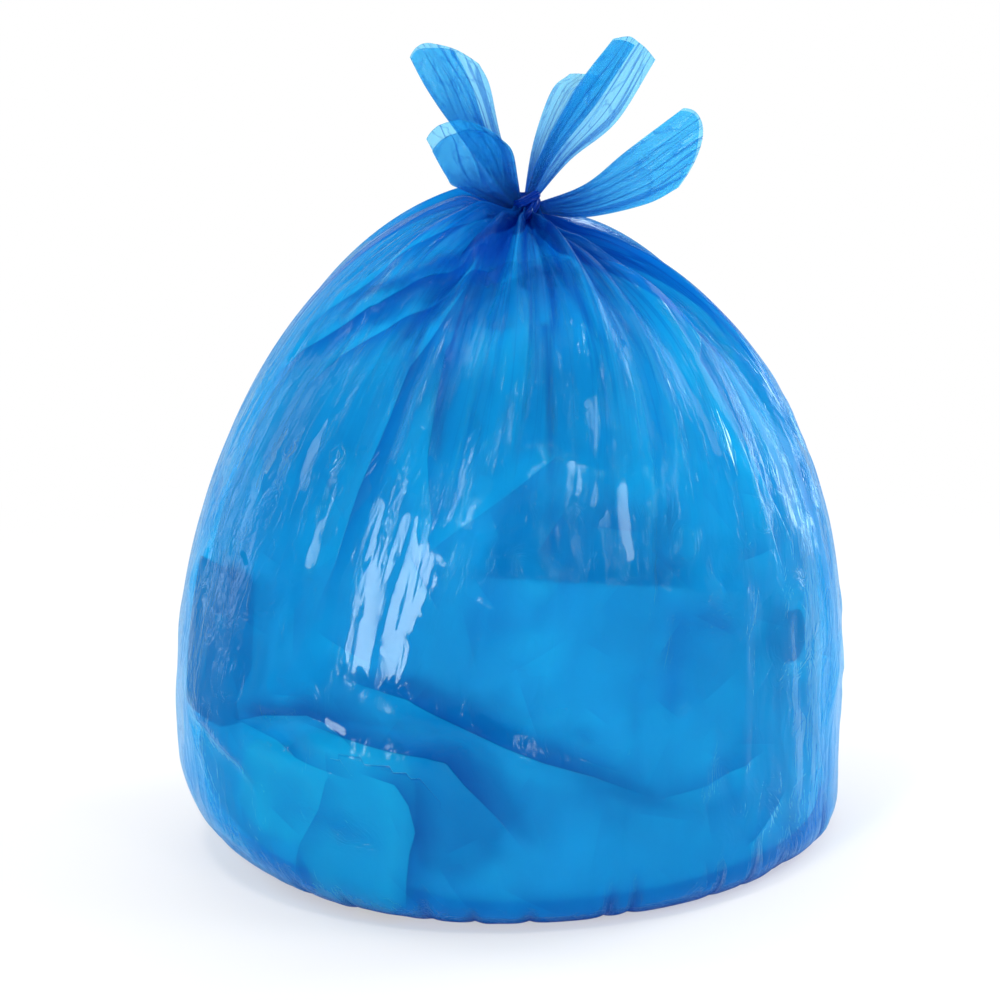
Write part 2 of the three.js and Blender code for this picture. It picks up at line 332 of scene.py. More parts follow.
def sack_outlines(angles):
    """The sack's outline at each angle, from the knot to the flat of the base, as rows of reach and height."""
    edge, rise = shoulder(angles[:, None])
    reach = WIDTH / 2
    steps = np.linspace(0, 1, OUTLINE_STEPS)[None, :]
    gather_angle = math.acos(GATHER_RADIUS / reach)
    gather_height = BELLY_HEIGHT + rise * math.sin(gather_angle)

    def bezier(a, b, c, d):
        back = 1 - steps
        return a * back**3 + 3 * b * steps * back**2 + 3 * c * steps**2 * back + d * steps**3

    flat = np.ones_like(edge)
    neck = (
        bezier(NECK_RADIUS * flat, NECK_RADIUS * flat, GATHER_START * flat, GATHER_RADIUS * flat),
        bezier(KNOT[2] * flat, (KNOT[2] - GATHER_DIP) * flat, gather_height, gather_height),
    )
    turn = gather_angle * (1 - steps)
    dome = (reach * np.cos(turn) * flat, BELLY_HEIGHT + rise * np.sin(turn))
    side = (reach * flat * np.ones_like(steps), lerp(BELLY_HEIGHT, edge, steps))
    corner = -steps * math.pi / 2
    rim = (reach - edge + edge * np.cos(corner), edge + edge * np.sin(corner))
    base = ((reach - edge) * lerp(1, BASE_SHARE, steps), np.zeros_like(edge * steps))
    reaches, heights = zip(neck, dome, side, rim, base)
    return np.concatenate(reaches, 1), np.concatenate(heights, 1)


def even_rows(reach, height, count):
    """The same outlines at evenly spaced points, and how far each point is from the knot along the film."""
    step = np.hypot(np.diff(reach, axis=1), np.diff(height, axis=1))
    travel = np.concatenate([np.zeros((len(reach), 1)), np.cumsum(step, 1)], 1)
    shares = np.linspace(0, 1, count)
    rows = [
        (np.interp(shares * t[-1], t, r), np.interp(shares * t[-1], t, h), shares * t[-1])
        for r, h, t in zip(reach, height, travel)
    ]
    return (np.array(part).T for part in zip(*rows))


def gathered(angle):
    """The share of the gathering that the film has at each angle."""
    turn = turn_from(angle, math.radians(SMOOTH_ANGLE))
    return 1 - SMOOTH_SHARE * bell(turn / math.radians(SMOOTH_SPREAD))


def fold_depth(angle, from_knot):
    """How far the main folds and the small gathers push the film in, at angles and distances from the knot."""
    depth = np.zeros_like(from_knot)
    for fold_angle, spread, deep, reach in FOLDS:
        turn = turn_from(angle, math.radians(fold_angle))
        depth += deep * bell(turn / math.radians(spread)) * (1 - smoothstep(from_knot, 0, reach))
    waves = [np.cos(count * angle + turn) for count, turn in zip(GATHER_COUNTS, GATHER_TURNS)]
    return depth - GATHER_DEPTH * gathered(angle) * np.mean(waves, 0) * np.exp(-from_knot / GATHER_REACH)


def sack_table(columns, folded=True):
    """Angles, and points and normals of the sack at them: rows from the knot down, columns round it."""
    angles = np.linspace(0, TURN, columns, endpoint=False)
    reach, height, from_knot = even_rows(*sack_outlines(angles), ROWS)
    along_r = np.gradient(reach, axis=0)
    along_z = np.gradient(height, axis=0)
    length = np.hypot(along_r, along_z)
    limit = DEEPEST_SHARE * reach
    inward = np.clip(fold_depth(angles[None, :], from_knot), -limit, limit)
    inward = inward * smoothstep(height, 0, FOLDS_END) * folded
    radius = reach + inward * along_z / length
    lift = smoothstep(height, BELLY_HEIGHT, KNOT[2])
    y = radius * np.sin(angles) * DEPTH / WIDTH
    x = radius * np.cos(angles) + FRONT_SKEW * y * (1 - lift)
    z = height - inward * along_r / length
    points = np.stack([x + KNOT[0] * lift, y + KNOT[1] * lift, z], -1)
    across = np.roll(points, -1, 1) - np.roll(points, 1, 1)
    normal = np.cross(np.gradient(points, axis=0), across)
    return angles, points, normal / np.maximum(lengths(normal), TINY), from_knot.mean(1)


def from_line(arc, along, radius, path):
    """How far each point of the film is from a path, below nothing on its left, and how far down the path."""
    far = np.full(arc.shape, FAR)
    signed = np.full(arc.shape, FAR)
    way = np.zeros(arc.shape)
    for step, ((s0, a0), (s1, a1)) in enumerate(zip(path, path[1:])):
        x0 = turn_from(np.radians(a0), arc) * radius
        x1 = x0 + np.radians(a1 - a0) * radius
        y0, y1 = s0 - along, s1 - along
        dx, dy = x1 - x0, y1 - y0
        share = np.clip(-(x0 * dx + y0 * dy) / np.maximum(dx * dx + dy * dy, TINY), 0, 1)
        distance = np.hypot(x0 + share * dx, y0 + share * dy)
        nearer = distance < far
        far = np.where(nearer, distance, far)
        signed = np.where(nearer, np.sign(dy * x0 - dx * y0) * distance, signed)
        way = np.where(nearer, (step + share) / (len(path) - 1), way)
    return signed, way


def short_path(along, angle, length, lean):
    """A straight path of a length about a place on the belly, which leans from straight down."""
    down = length / 2 * math.cos(lean)
    across = math.degrees(length / 2 * math.sin(lean) / (WIDTH / 2))
    return (along - down, angle - across), (along + down, angle + across)


def ledge_relief(angles, along, radius, ledges):
    """How far ledges push a surface in, in millimetres."""
    relief = np.zeros(angles.shape)
    for height, sharp, spread, path in ledges:
        far, way = from_line(angles, along, radius, path)
        relief -= height * window(way, *LEDGE_WINDOW) * np.tanh(far / sharp) * bell(far / spread)
    return relief


def line_relief(angles, along, radius):
    """How far the film's lines and ledges push it in, in millimetres."""
    relief = ledge_relief(angles, along, radius, LEDGES)
    for depth, spread, path in LINES:
        far, _ = from_line(angles, along, radius, path)
        relief += depth * bell(far / spread)
    return relief


def film_layers(angles, along, radius, heights):
    """How many more layers of film there are at each point, with painted shade at the base as more layers."""
    layers = FILM_LAYERS + KNOT_LAYERS * np.exp(-along / KNOT_LAYERS_REACH)
    layers += FOLD_LAYERS * np.maximum(fold_depth(angles, along), 0) * np.exp(-along / FOLD_LAYERS_REACH)
    # Painted shade along the base where the sack meets the floor
    layers += BASE_CONTACT_SHADE * (1 - smoothstep(heights, BASE_START, BASE_LINE))
    for count, width, path in LAYERS:
        far, way = from_line(angles, along, radius, path)
        shade = count * lerp(*LAYER_COUNTS, way) * bell(far / (width * lerp(*LAYER_WIDTHS, way)))
        layers += shade * (1 - smoothstep(way, LAYER_END, 1))
    for _ in range(BANDS):
        reach = rng.uniform(*BAND_REACH)
        turn = turn_from(angles, rng.uniform(0, TURN))
        soft = bell(turn / np.radians(rng.uniform(*BAND_SPREAD)))
        soft = soft * gathered(angles) * (1 - smoothstep(along, BAND_FADE * reach, reach))
        layers += rng.uniform(*BAND_LAYERS) * soft
    for angle, length, spread in tucks():
        tuck = bell(turn_from(angles, angle) * radius / spread)
        layers += tuck * (1 - smoothstep(heights, BASE_START, length))
    return layers


def nearest_crease(angles, along, radius, creases):
    """How far the nearest crease of a set is, below nothing on its left, and the painted shade and light of its
    sides.
    """
    nearest = np.full(angles.shape, FAR)
    more = np.zeros(angles.shape)
    less = np.zeros(angles.shape)
    for dark, light, path in creases:
        far, way = from_line(angles, along, radius, path)
        taper = window(way, *CREASE_WINDOW)
        nearer = np.abs(far) < np.abs(nearest)
        nearest = np.where(nearer, far, nearest)
        more = np.where(nearer, dark * taper, more)
        less = np.where(nearer, light * taper, less)
    close = 1 - smoothstep(np.abs(nearest), CREASE_CLOSE, CREASE_NEAR)
    nearest = np.clip(nearest, -CREASE_NEAR, CREASE_NEAR)
    return np.stack([nearest, more * close / MM, less * close / MM], -1)


def small_creases():
    """Short creases of the belly, one in each square of a grid on the film, with painted shade and light and a
    path.
    """
    draw = np.random.default_rng(11)
    around = int(math.pi * WIDTH / SMALL_CREASE_GAP)
    creases = []
    for start in np.arange(*SMALL_CREASE_ALONG, SMALL_CREASE_GAP):
        for column in range(around):
            along = start + draw.uniform(*SMALL_CREASE_SHIFT) * SMALL_CREASE_GAP
            angle = 360 * (column + draw.uniform(*SMALL_CREASE_SHIFT)) / around
            lean = draw.normal(*SMALL_CREASE_LEAN)
            path = short_path(along, angle, draw.uniform(*SMALL_CREASE_LENGTH), lean)
            layers = draw.uniform(*SMALL_CREASE_SHADE_LAYERS)
            creases.append((layers, layers, path))
    return creases


def nearest_glint(angles, along, radius):
    """How far each point is within the nearest glint, the glint's share of the shine, and the way it faces."""
    nearest = np.full(angles.shape, -float(GLINT_NEAR))
    shares = np.zeros(angles.shape)
    ragged = np.zeros(angles.shape)
    facing = np.zeros(angles.shape + (3,))
    for spread, share, aim, path in GLINTS:
        far, _ = from_line(angles, along, radius, path)
        within = spread - np.abs(far)
        nearer = within > nearest
        nearest = np.where(nearer, within, nearest)
        shares = np.where(nearer, share, shares)
        ragged = np.where(nearer, GLINT_RAGGED * spread, ragged)
        facing[nearer] = aim
    return np.stack([nearest, shares / MM, ragged], -1), facing / MM


def tucks():
    """Angle, length and spread of each crease that runs up from the base."""
    draw = np.random.default_rng(3)
    angles = (np.arange(TUCKS) + draw.uniform(*TUCK_SHIFT, TUCKS)) * TURN / TUCKS
    return list(zip(angles, draw.uniform(*TUCK_LENGTH, TUCKS), draw.uniform(*TUCK_SPREAD, TUCKS)))


def crease_relief(angles, along, radius, heights):
    """How far the film's ridges, wrinkles and tucks push it in, in millimetres."""
    relief = np.zeros(angles.shape)
    for _ in range(RIDGES):
        angle = rng.uniform(0, 360)
        start = rng.uniform(*RIDGE_START)
        end = start + rng.uniform(*RIDGE_REACH)
        middle = (start + end) / 2
        lean = rng.normal(0, RIDGE_LEAN)
        spread = rng.uniform(*RIDGE_SPREAD) * np.minimum(1, RIDGE_NARROW[0] + along / RIDGE_NARROW[1])
        turn = turn_from(np.radians(angle + lean * (along - middle) / 100), angles)
        share = flat_bell((along - middle) / ((end - start) / 2)) * lerp(SMOOTH_RIDGES, 1, gathered(angles))
        relief += rng.normal(0, RIDGE_HEIGHT) * share * np.exp(-np.abs(turn * radius / spread))
    for _ in range(WRINKLES):
        angle = rng.uniform(0, 360)
        place = rng.uniform(WRINKLES_START, along.max() - WRINKLES_END)
        length = rng.uniform(*WRINKLE_LENGTH)
        path = short_path(place, angle, length, rng.normal(0, WRINKLE_LEAN))
        far, way = from_line(angles, along, radius, path)
        height = rng.normal(0, WRINKLE_HEIGHT) * window(way, *WRINKLE_WINDOW)
        relief += height * np.exp(-np.abs(far) / rng.uniform(*WRINKLE_SPREAD))
    share, spread, path = CALM
    far, _ = from_line(angles, along, radius, path)
    relief *= 1 - share * flat_bell(far / spread)
    for angle, length, spread in tucks():
        deep = TUCK_DEPTH * (1 - smoothstep(heights, BASE_START, length))
        relief += deep * np.exp(-np.abs(turn_from(angles, angle) * radius / spread))
    return relief


def relax(points, slack_around, slack_along, passes, cap):
    """Lets the film find its length: it crinkles where it has slack and is drawn straight where it is short."""
    start = points.copy()
    firm, loose, even = 0.5, 0.12, 0.03
    ahead = np.roll(points, -1, 1)
    rest_around = lengths(ahead - points) * (1 + slack_around)
    rest_along = lengths(points[1:] - points[:-1]) * (1 + slack_along)
    rest_cross = lengths(ahead[1:] - points[:-1])
    rest_back = lengths(points[1:] - ahead[:-1])

    def pull(a, b, rest, share):
        gap = b - a
        return gap * (share * (1 - rest / np.maximum(lengths(gap), 1e-6)))

    for _ in range(passes):
        for first in (0, 1):
            shifted = np.roll(points, -first, 1)
            rest = np.roll(rest_around, -first, 1)[:, 0::2]
            move = pull(shifted[:, 0::2], shifted[:, 1::2], rest, firm)
            shifted[:, 0::2] += move
            shifted[:, 1::2] -= move
            points = np.roll(shifted, first, 1)
            move = pull(points[first:-1:2], points[first + 1 :: 2], rest_along[first::2], firm)
            points[first:-1:2] += move
            points[first + 1 :: 2] -= move
        ahead = np.roll(points, -1, 1)
        cross = pull(points[:-1], ahead[1:], rest_cross, loose)
        back = pull(ahead[:-1], points[1:], rest_back, loose)
        points[:-1] += cross + np.roll(back, 1, 1)
        points[1:] -= back + np.roll(cross, 1, 1)
        beside = (np.roll(points, 1, 1) + np.roll(points, -1, 1))[1:-1]
        smooth = 0.25 * beside + 0.25 * (points[:-2] + points[2:])
        points[1:-1] += even * (smooth - points[1:-1])
        move = points - start
        points = start + move * np.minimum(1, cap / np.maximum(lengths(move), TINY))
    return points


def film_body_points():
    """The film's grid with its folds and crinkles, and each point's place on the film and by its creases."""
    angles, film, normals, from_knot = sack_table(COLUMNS)
    ring = np.linalg.norm(np.roll(film, -1, 1) - film, axis=-1).sum(1)
    radius = np.repeat(ring[:, None] / TURN, COLUMNS, 1)
    around, along = np.meshgrid(angles, from_knot)
    where = (around, along, radius)
    heights = film[..., 2]
    creases = crease_relief(*where, heights)
    relief = line_relief(*where) + creases
    rim = smoothstep(along, 0, KNOT_RIM) * smoothstep(from_knot[-1] - along, BASE_FLAT, BASE_RIM)
    film = film - normals * (relief * rim)[..., None]
    dome = np.exp(-from_knot / SLACK_REACH)[:, None, None]
    film = relax(film, SLACK_AROUND * dome, SLACK_ALONG, SLACK_PASSES, SLACK_CAP)
    film[..., 2] = np.maximum(film[..., 2], 0)
    # Painted shade in the valleys of the wrinkles and painted light on their crests, as more and fewer layers
    layers = film_layers(*where, heights) + WRINKLE_SHADE_LAYERS * np.clip(creases, *WRINKLE_DEPTHS)
    places = {"flow": np.stack([around * WIDTH / 2, along, np.maximum(layers, 0) / MM], -1)}
    for name, creases in [*CREASES.items(), (SMALL_CREASES, small_creases())]:
        places[name] = nearest_crease(*where, creases)
    places["glint"], places["glint_facing"] = nearest_glint(*where)
    return film, places


def mesh_object(name, points, faces, material, smooth=True):
    """A new mesh in metres from points in millimetres."""
    mesh = bpy.data.meshes.new(name)
    mesh.from_pydata((np.asarray(points) * MM).tolist(), [], faces)
    mesh.polygons.foreach_set("use_smooth", [smooth] * len(mesh.polygons))
    mesh.materials.append(material)
    mesh.update()
    made = bpy.data.objects.new(name, mesh)
    bpy.context.scene.collection.objects.link(made)
    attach(made, "root")
    return made


def ring_faces(rows, columns):
    """Faces of rings of points, closed by a fan at each end whose middles come after the rings. They face
    outward when the rows run down and the columns run round from +X to +Y."""
    faces = []
    for row in range(0, (rows - 1) * columns, columns):
        for c in range(columns):
            after = (c + 1) % columns
            faces.append((row + c, row + columns + c, row + columns + after, row + after))
    middle = rows * columns
    last = middle - columns
    faces += [(middle, c, (c + 1) % columns) for c in range(columns)]
    faces += [(middle + 1, last + (c + 1) % columns, last + c) for c in range(columns)]
    return faces


def ring_points(grid):
    """The points of a grid of rings, and then the middles of its first and last ring."""
    return np.concatenate([grid.reshape(-1, 3), grid[0].mean(0)[None], grid[-1].mean(0)[None]])


def add_places(made, name, values):
    """Stores three values for each point, given in thousandths, for a material's look."""
    spare = np.zeros((len(made.data.vertices) - values.size // 3, 3))
    layer = made.data.attributes.new(name, "FLOAT_VECTOR", "POINT")
    layer.data.foreach_set("vector", (np.concatenate([values.reshape(-1, 3), spare]) * MM).ravel())


def film_body(material):
    grid, places = film_body_points()
    made = mesh_object("film_body", ring_points(grid), ring_faces(ROWS, COLUMNS), material)
    for name, values in places.items():
        add_places(made, name, values)
    return made


# Ears: lobes of the mouth, each between two edges given from the middle of the knot. The tip is how far the end
# bows out, and the cup how far the lobe is hollowed. Layers give the share of the width that each sheet of film
# covers, how much of the length it has, how far it stands off, and how many more layers of film it shows.
EAR_FILM = 0.3
EAR_STEPS = 64
EAR_COLUMNS = 84
EAR_CREASES = 34
EAR_CREASE_LEAN = 0.12
EAR_CREASE_MIDDLE = (0.1, 0.9)
EAR_CREASE_HALF = (0.15, 0.5)
EAR_CREASE_SPREAD = (0.012, 0.04)
EAR_CREASE_HEIGHT = 1.0
EAR_ROOT_SHARE = 0.25
EAR_END_SHARE = 0.4
EAR_ROUND = 2.6
EAR_RAGGED = 0.25
EAR_RAGGED_WAVES = (3, 16)
EAR_ROOT_LAYERS = 3.6
EAR_ROOT_REACH = 20
EAR_FLOW = (60, 110)
EAR_WARPS = 6
EAR_WARP = 0.9
EAR_WARP_ACROSS = (0.05, 0.2)
EAR_WARP_ALONG = (0.02, 0.1)
EARS = {
    "ear_back_left": dict(
        left=((-8, 0, 0), (-51, 12, 54), (-71, 20, 82), (-83, 24, 104)),
        right=((-4, 2, 4), (-18, 14, 49), (-26, 24, 84), (-34, 26, 100)),
        tip=13, cup=10, layers=((0, 1, 1, 0, 0), (0, 0.74, 0.97, -2, 0.1)),
    ),
    "ear_front_left": dict(
        left=((-8, -2, -3), (-48, -14, 16), (-57, -22, 27), (-70, -34, 53)),
        right=((-3, -4, 2), (-6, -12, 23), (-10, -26, 44), (-19, -32, 54)),
        tip=8, cup=14, layers=((0, 1, 1, 0, 0), (0, 1, 0.9, -2, 0.25)),
    ),
    "ear_right": dict(
        left=((-2, 0, 2), (11, 2, 39), (36, 5, 85), (62, 8, 119)),
        right=((4, -2, 2), (31, -6, 34), (64, -8, 62), (91, -4, 105)),
        tip=5, cup=-9, layers=((0, 1, 1, 0, 0), (0, 0.52, 0.98, 2, 0.6)),
    ),
    "ear_right_lobe": dict(
        left=((-2, 4, 2), (5, 8, 44), (18, 13, 81), (31, 15, 93)),
        right=((2, 4, 2), (18, 6, 40), (44, 10, 79), (56, 10, 88)),
        tip=4, cup=4, layers=((0, 1, 1, 0, 0),),
    ),
    "ear_far_right": dict(
        left=((4, -2, 2), (41, -8, 17), (70, -14, 41), (110, -22, 73)),
        right=((4, -4, -3), (41, -16, -5), (84, -26, 6), (107, -28, 18)),
        tip=20, cup=-10, layers=((0, 1, 1, 0, 0), (0, 1, 0.98, 2, 0.05)),
    ),
}


def smooth_line(points, shares):
    """A smooth curve through a few points, at these shares of its way."""
    points = np.array(points, float)
    ends = np.concatenate([[2 * points[0] - points[1]], points, [2 * points[-1] - points[-2]]])
    place = shares * (len(points) - 1)
    index = np.minimum(place.astype(int), len(points) - 2)
    t = (place - index)[:, None]
    a, b, c, d = (ends[index + i] for i in range(4))
    return 0.5 * (2 * b + (c - a) * t + (2 * a - 5 * b + 4 * c - d) * t**2 + (3 * b - a - 3 * c + d) * t**3)


def ear_grid(left, right, tip, cup, layer):
    """One sheet of an ear, with creases that run together at the knot."""
    low, high, length, off, _ = layer
    shares = np.linspace(0, 1, EAR_STEPS) * length
    from_edge = smooth_line(left, shares)
    gap = smooth_line(right, shares) - from_edge
    forward = np.gradient(2 * from_edge + gap, axis=0)
    forward /= lengths(forward)
    outward = np.cross(forward, gap / lengths(gap))
    along = shares[:, None]
    across = np.linspace(low, high, EAR_COLUMNS)[None, :]
    lift = np.zeros((EAR_STEPS, EAR_COLUMNS))
    for _ in range(EAR_CREASES):
        place = rng.uniform(low, high) + rng.normal(0, EAR_CREASE_LEAN) * (along - 0.5)
        middle = rng.uniform(*EAR_CREASE_MIDDLE)
        share = flat_bell((along - middle) / rng.uniform(*EAR_CREASE_HALF))
        spread = rng.uniform(*EAR_CREASE_SPREAD)
        lift += rng.normal(0, EAR_CREASE_HEIGHT) * share * bell((across - place) / spread)
    lift *= smoothstep(along, 0, EAR_ROOT_SHARE) * (1 - EAR_END_SHARE * along)
    bow = 4 * across * (1 - across)
    waves = [np.sin(rng.uniform(*EAR_RAGGED_WAVES) * across + rng.uniform(0, PHASES)) for _ in range(5)]
    reach = (tip * (1 - np.abs(2 * across - 1) ** EAR_ROUND) + sum(waves) * EAR_RAGGED) * along**2
    lift = lift + cup * bow * along + off * np.sqrt(along)
    spots = from_edge[:, None] + gap[:, None] * across[..., None] + forward[:, None] * reach[..., None]
    return spots + outward[:, None] * lift[..., None] + KNOT


def sheet_shell(grid, thickness):
    """Points and faces of a closed sheet of film along a grid of points."""
    rows, columns, _ = grid.shape
    normal = np.cross(np.gradient(grid, axis=0), np.gradient(grid, axis=1))
    normal /= np.maximum(lengths(normal), TINY)
    upper = grid + normal * thickness / 2
    lower = grid - normal * thickness / 2
    points = np.concatenate([upper.reshape(-1, 3), lower.reshape(-1, 3)])
    below = rows * columns
    faces = []
    for r in range(rows - 1):
        for c in range(columns - 1):
            a, b = r * columns + c, (r + 1) * columns + c
            faces.append((a, b, b + 1, a + 1))
            faces.append((below + a, below + a + 1, below + b + 1, below + b))
    index = np.arange(below).reshape(rows, columns)
    rim = [*index[0], *index[1:, -1], *index[-1, -2::-1], *index[-2:0:-1, 0]]
    rim = [int(corner) for corner in rim]
    faces += [(b, a, below + a, below + b) for a, b in zip(rim, rim[1:] + rim[:1])]
    return points, faces


def joined(shells):
    """Several shells as one list of points and one of faces."""
    points, faces = [], []
    first = 0
    for shell_points, shell_faces in shells:
        points.append(np.asarray(shell_points, float))
        faces += [tuple(first + corner for corner in face) for face in shell_faces]
        first += len(shell_points)
    return np.concatenate(points), faces


def ear_flow(low, high, length, off, more):
    """Each point's place on one sheet of an ear, along the film and across it, and its layers."""
    across = np.linspace(low, high, EAR_COLUMNS) * EAR_FLOW[0]
    along = np.linspace(0, length, EAR_STEPS) * EAR_FLOW[1]
    wide, deep = np.meshgrid(across, along)
    for _ in range(EAR_WARPS):
        size = rng.normal(0, EAR_WARP)
        bend = wide * rng.uniform(*EAR_WARP_ACROSS) + deep * rng.uniform(*EAR_WARP_ALONG)
        wide = wide + size * np.sin(bend)
    layers = more + EAR_ROOT_LAYERS * np.exp(-deep / EAR_ROOT_REACH)
    return np.stack([wide, deep, layers / MM], -1)


def ear(name, left, right, tip, cup, layers, material):
    grids = [ear_grid(left, right, tip, cup, layer) for layer in layers]
    made = mesh_object(name, *joined([sheet_shell(grid, EAR_FILM) for grid in grids]), material)
    flows = [ear_flow(*layer) for layer in layers]
    add_places(made, "flow", np.array([flow for flow in flows for side in range(2)]))
    return made


# Knot: two gathered bunches of film that pass round each other, given from the middle of the knot
KNOT_STEPS = 72
KNOT_SIDES = 54
BUNCH_RADIUS = 3.8
BUNCH_FLAT = 0.8
BUNCH_END = 8
# Pleats of a bunch: their depth as a share of its radius, how many there are, and their twist
PLEATS = ((0.15, 7, 5), (0.1, 12, -4))
BUNCHES = (
    ((-5, -3, -18), (-2, -7, -8), (4, -7, -1), (6, -1, 4), (1, 4, 6), (-5, 1, 7), (-10, 1, 11)),
    ((5, -2, -16), (4, 4, -7), (-3, 6, -1), (-6, 0, 2), (-3, -6, 4), (4, -4, 7), (10, -3, 11)),
)


def bunch_shell(path):
    """A bunch of film gathered in small pleats, swept along a curve, with round ends."""
    shares = np.linspace(0, 1, KNOT_STEPS)
    line = smooth_line(path, shares)
    forward = np.gradient(line, axis=0)
    forward /= lengths(forward)
    side = np.array([0.0, 0.0, 1.0])
    about = np.linspace(0, TURN, KNOT_SIDES, endpoint=False)
    turns = rng.uniform(0, TURN, 3)
    rings = []
    for spot, ahead, along in zip(line, forward, shares):
        side = side - ahead * (side @ ahead)
        side = side / np.linalg.norm(side)
        other = np.cross(ahead, side)
        pleats = [d * np.cos(count * about + twist * along + t) for (d, count, twist), t in zip(PLEATS, turns)]
        size = BUNCH_RADIUS * (1 + sum(pleats)) * math.sqrt(max(1e-3, 1 - abs(2 * along - 1) ** BUNCH_END))
        ring = np.outer(size * np.cos(about), side) + np.outer(size * np.sin(about), other) * BUNCH_FLAT
        rings.append(spot + ring)
    points = np.concatenate(rings + [line[:1], line[-1:]]) + KNOT
    return points, [face[:1] + face[:0:-1] for face in ring_faces(KNOT_STEPS, KNOT_SIDES)]


def knot(material):
    return mesh_object("knot", *joined([bunch_shell(path) for path in BUNCHES]), material)


# Load: the refuse that shows dimly through the film
CRUMPLE_WAVES = 12
CRUMPLE_SIZES = (0.6, 1.6)
LOAD_COLUMNS = 300
LOAD_GAP = 7
LOAD_LUMP = 5
LOAD_LUMPS = 40
LUMP_COUNTS = (2, 14)
LUMP_SLANT = 0.25
LUMPS_RISE = 120
TOP_LUMP = 10
TOP_RISE = 0.08
LOAD_STEP = 8
PIECE_GAP = 4
FLOOR_GAPS = (3, 5)
GAP_RISE = 90
TOP_GAP = 30
SLOPE_GAP = 1.2

# Hollows in the load where a larger piece lies: angle and spread in degrees, lowest and highest, and depth
HOLLOW_EDGE = 20
HOLLOWS = (
    (216, 14, 155, 245, 22),
    (250, 18, 0, 150, 22),
    (226, 16, 20, 125, 16),
)
# Folds in a soft piece of the load that lies against the film: depth, spread and path
LOAD_FOLD_WINDOW = (0.15, 0.75)
LOAD_FOLDS = (
    (26, 9, ((416, 250), (434, 266), (442, 274), (461, 282), (482, 293), (512, 304))),
    (22, 8, ((446, 240), (456, 250), (460, 258), (464, 266), (484, 274), (540, 282))),
    (20, 7, ((476, 222), (466, 232), (457, 243), (464, 252))),
    (16, 8, ((478, 284), (505, 293), (540, 300))),
    (14, 7, ((500, 266), (525, 272), (560, 276))),
    (12, 7, ((486, 214), (492, 219), (508, 229), (530, 234))),
)
# Edge of a carton that lies flat under the film, along its top and down its right side
CARTON_EDGE = (
    (336, 250), (342, 262), (345, 272), (349, 285), (354, 296),
    (362, 308), (366, 316), (402, 317), (451, 318), (528, 320),
)
LOAD_LEDGES = (
    (13, 2.5, 60, CARTON_EDGE),
)
# Shares of the carton's edge over which the painted shade in a band above it comes and goes
CARTON_SHADE_START = (0.15, 0.22)
CARTON_SHADE_END = (0.5, 0.62)
LOAD_TOP_LEFT = 424
LOAD_TOP_RIGHT = 446
LOAD_TOP_TURN = 60
# Shaded folds of the load: how much darker, the spread to the left and to the right of a path, and the path
LOAD_SHADE_WINDOW = (0.2, 0.6)
LOAD_SHADES = (
    (-0.6, 3, 15, ((412, 240), (423, 250), (431, 261), (455, 274), (479, 286), (520, 305), (545, 312))),
    (-0.5, 15, 2, ((476, 218), (467, 230), (463, 250), (467, 265), (474, 272))),
    (-0.6, 16, 3, ((460, 262), (467, 265), (500, 272), (532, 279), (560, 285))),
    (-0.6, 5, 8, ((470, 263), (488, 264), (544, 263), (580, 262))),
    (-0.5, 18, 2, ((480, 252), (488, 255), (520, 261), (553, 262), (614, 257))),
    (-0.3, 2, 12, ((488, 248), (496, 245), (532, 242), (569, 239), (600, 237))),
    (-0.4, 10, 3, ((500, 288), (520, 300), (534, 312), (545, 326))),
    (-0.35, 4, 14, ((400, 329), (419, 333), (484, 335), (577, 339), (600, 340))),
)


def load_shades(angles, along, radius):
    """The painted shade of the load's folds at each point, as how much paler it is."""
    shades = np.zeros(angles.shape)
    for change, left, right, path in LOAD_SHADES:
        far, way = from_line(angles, along, radius, path)
        shade = np.exp(-np.abs(far) / np.where(far < 0, left, right))
        shades += change * window(way, *LOAD_SHADE_WINDOW) * shade
    return shades


def room(angle, height):
    """How far the sack reaches at an angle and a height."""
    edge, rise = shoulder(angle)
    up = np.clip((height - BELLY_HEIGHT) / rise, 0, 1)
    down = np.clip(1 - height / edge, 0, 1)
    return WIDTH / 2 * np.sqrt(1 - up**2) - edge * (1 - np.sqrt(1 - down**2))


def pressed(points, gap):
    """Points of the load pressed in so that all of them are within the film and its folds."""
    points = np.array(points, float)
    points[:, 2] = np.clip(points[:, 2], min(gap, FLOOR_GAPS[1]), KNOT[2] - TOP_GAP)
    gap = lerp(FLOOR_GAPS[0], gap, smoothstep(points[:, 2], 0, GAP_RISE))
    lift = smoothstep(points[:, 2], BELLY_HEIGHT, KNOT[2])
    y = points[:, 1] - KNOT[1] * lift
    x = points[:, 0] - KNOT[0] * lift - FRONT_SKEW * y * (1 - lift)
    across = y * WIDTH / DEPTH
    radius = np.maximum(np.hypot(x, across), 1e-6)
    angle = np.arctan2(across, x)
    reach, height, along = even_rows(*sack_outlines(np.array([-math.pi / 2])), ROWS)
    from_knot = np.interp(-points[:, 2], -height[:, 0], along[:, 0])
    space = room(angle, points[:, 2])
    folds = np.maximum(fold_depth(angle, from_knot), 0) + np.maximum(line_relief(angle, from_knot, space), 0)
    share = np.minimum(1, (space - gap * SLOPE_GAP - folds) / radius)
    points[:, 1] = y * share + KNOT[1] * lift
    points[:, 0] = x * share + FRONT_SKEW * y * share * (1 - lift) + KNOT[0] * lift
    return points


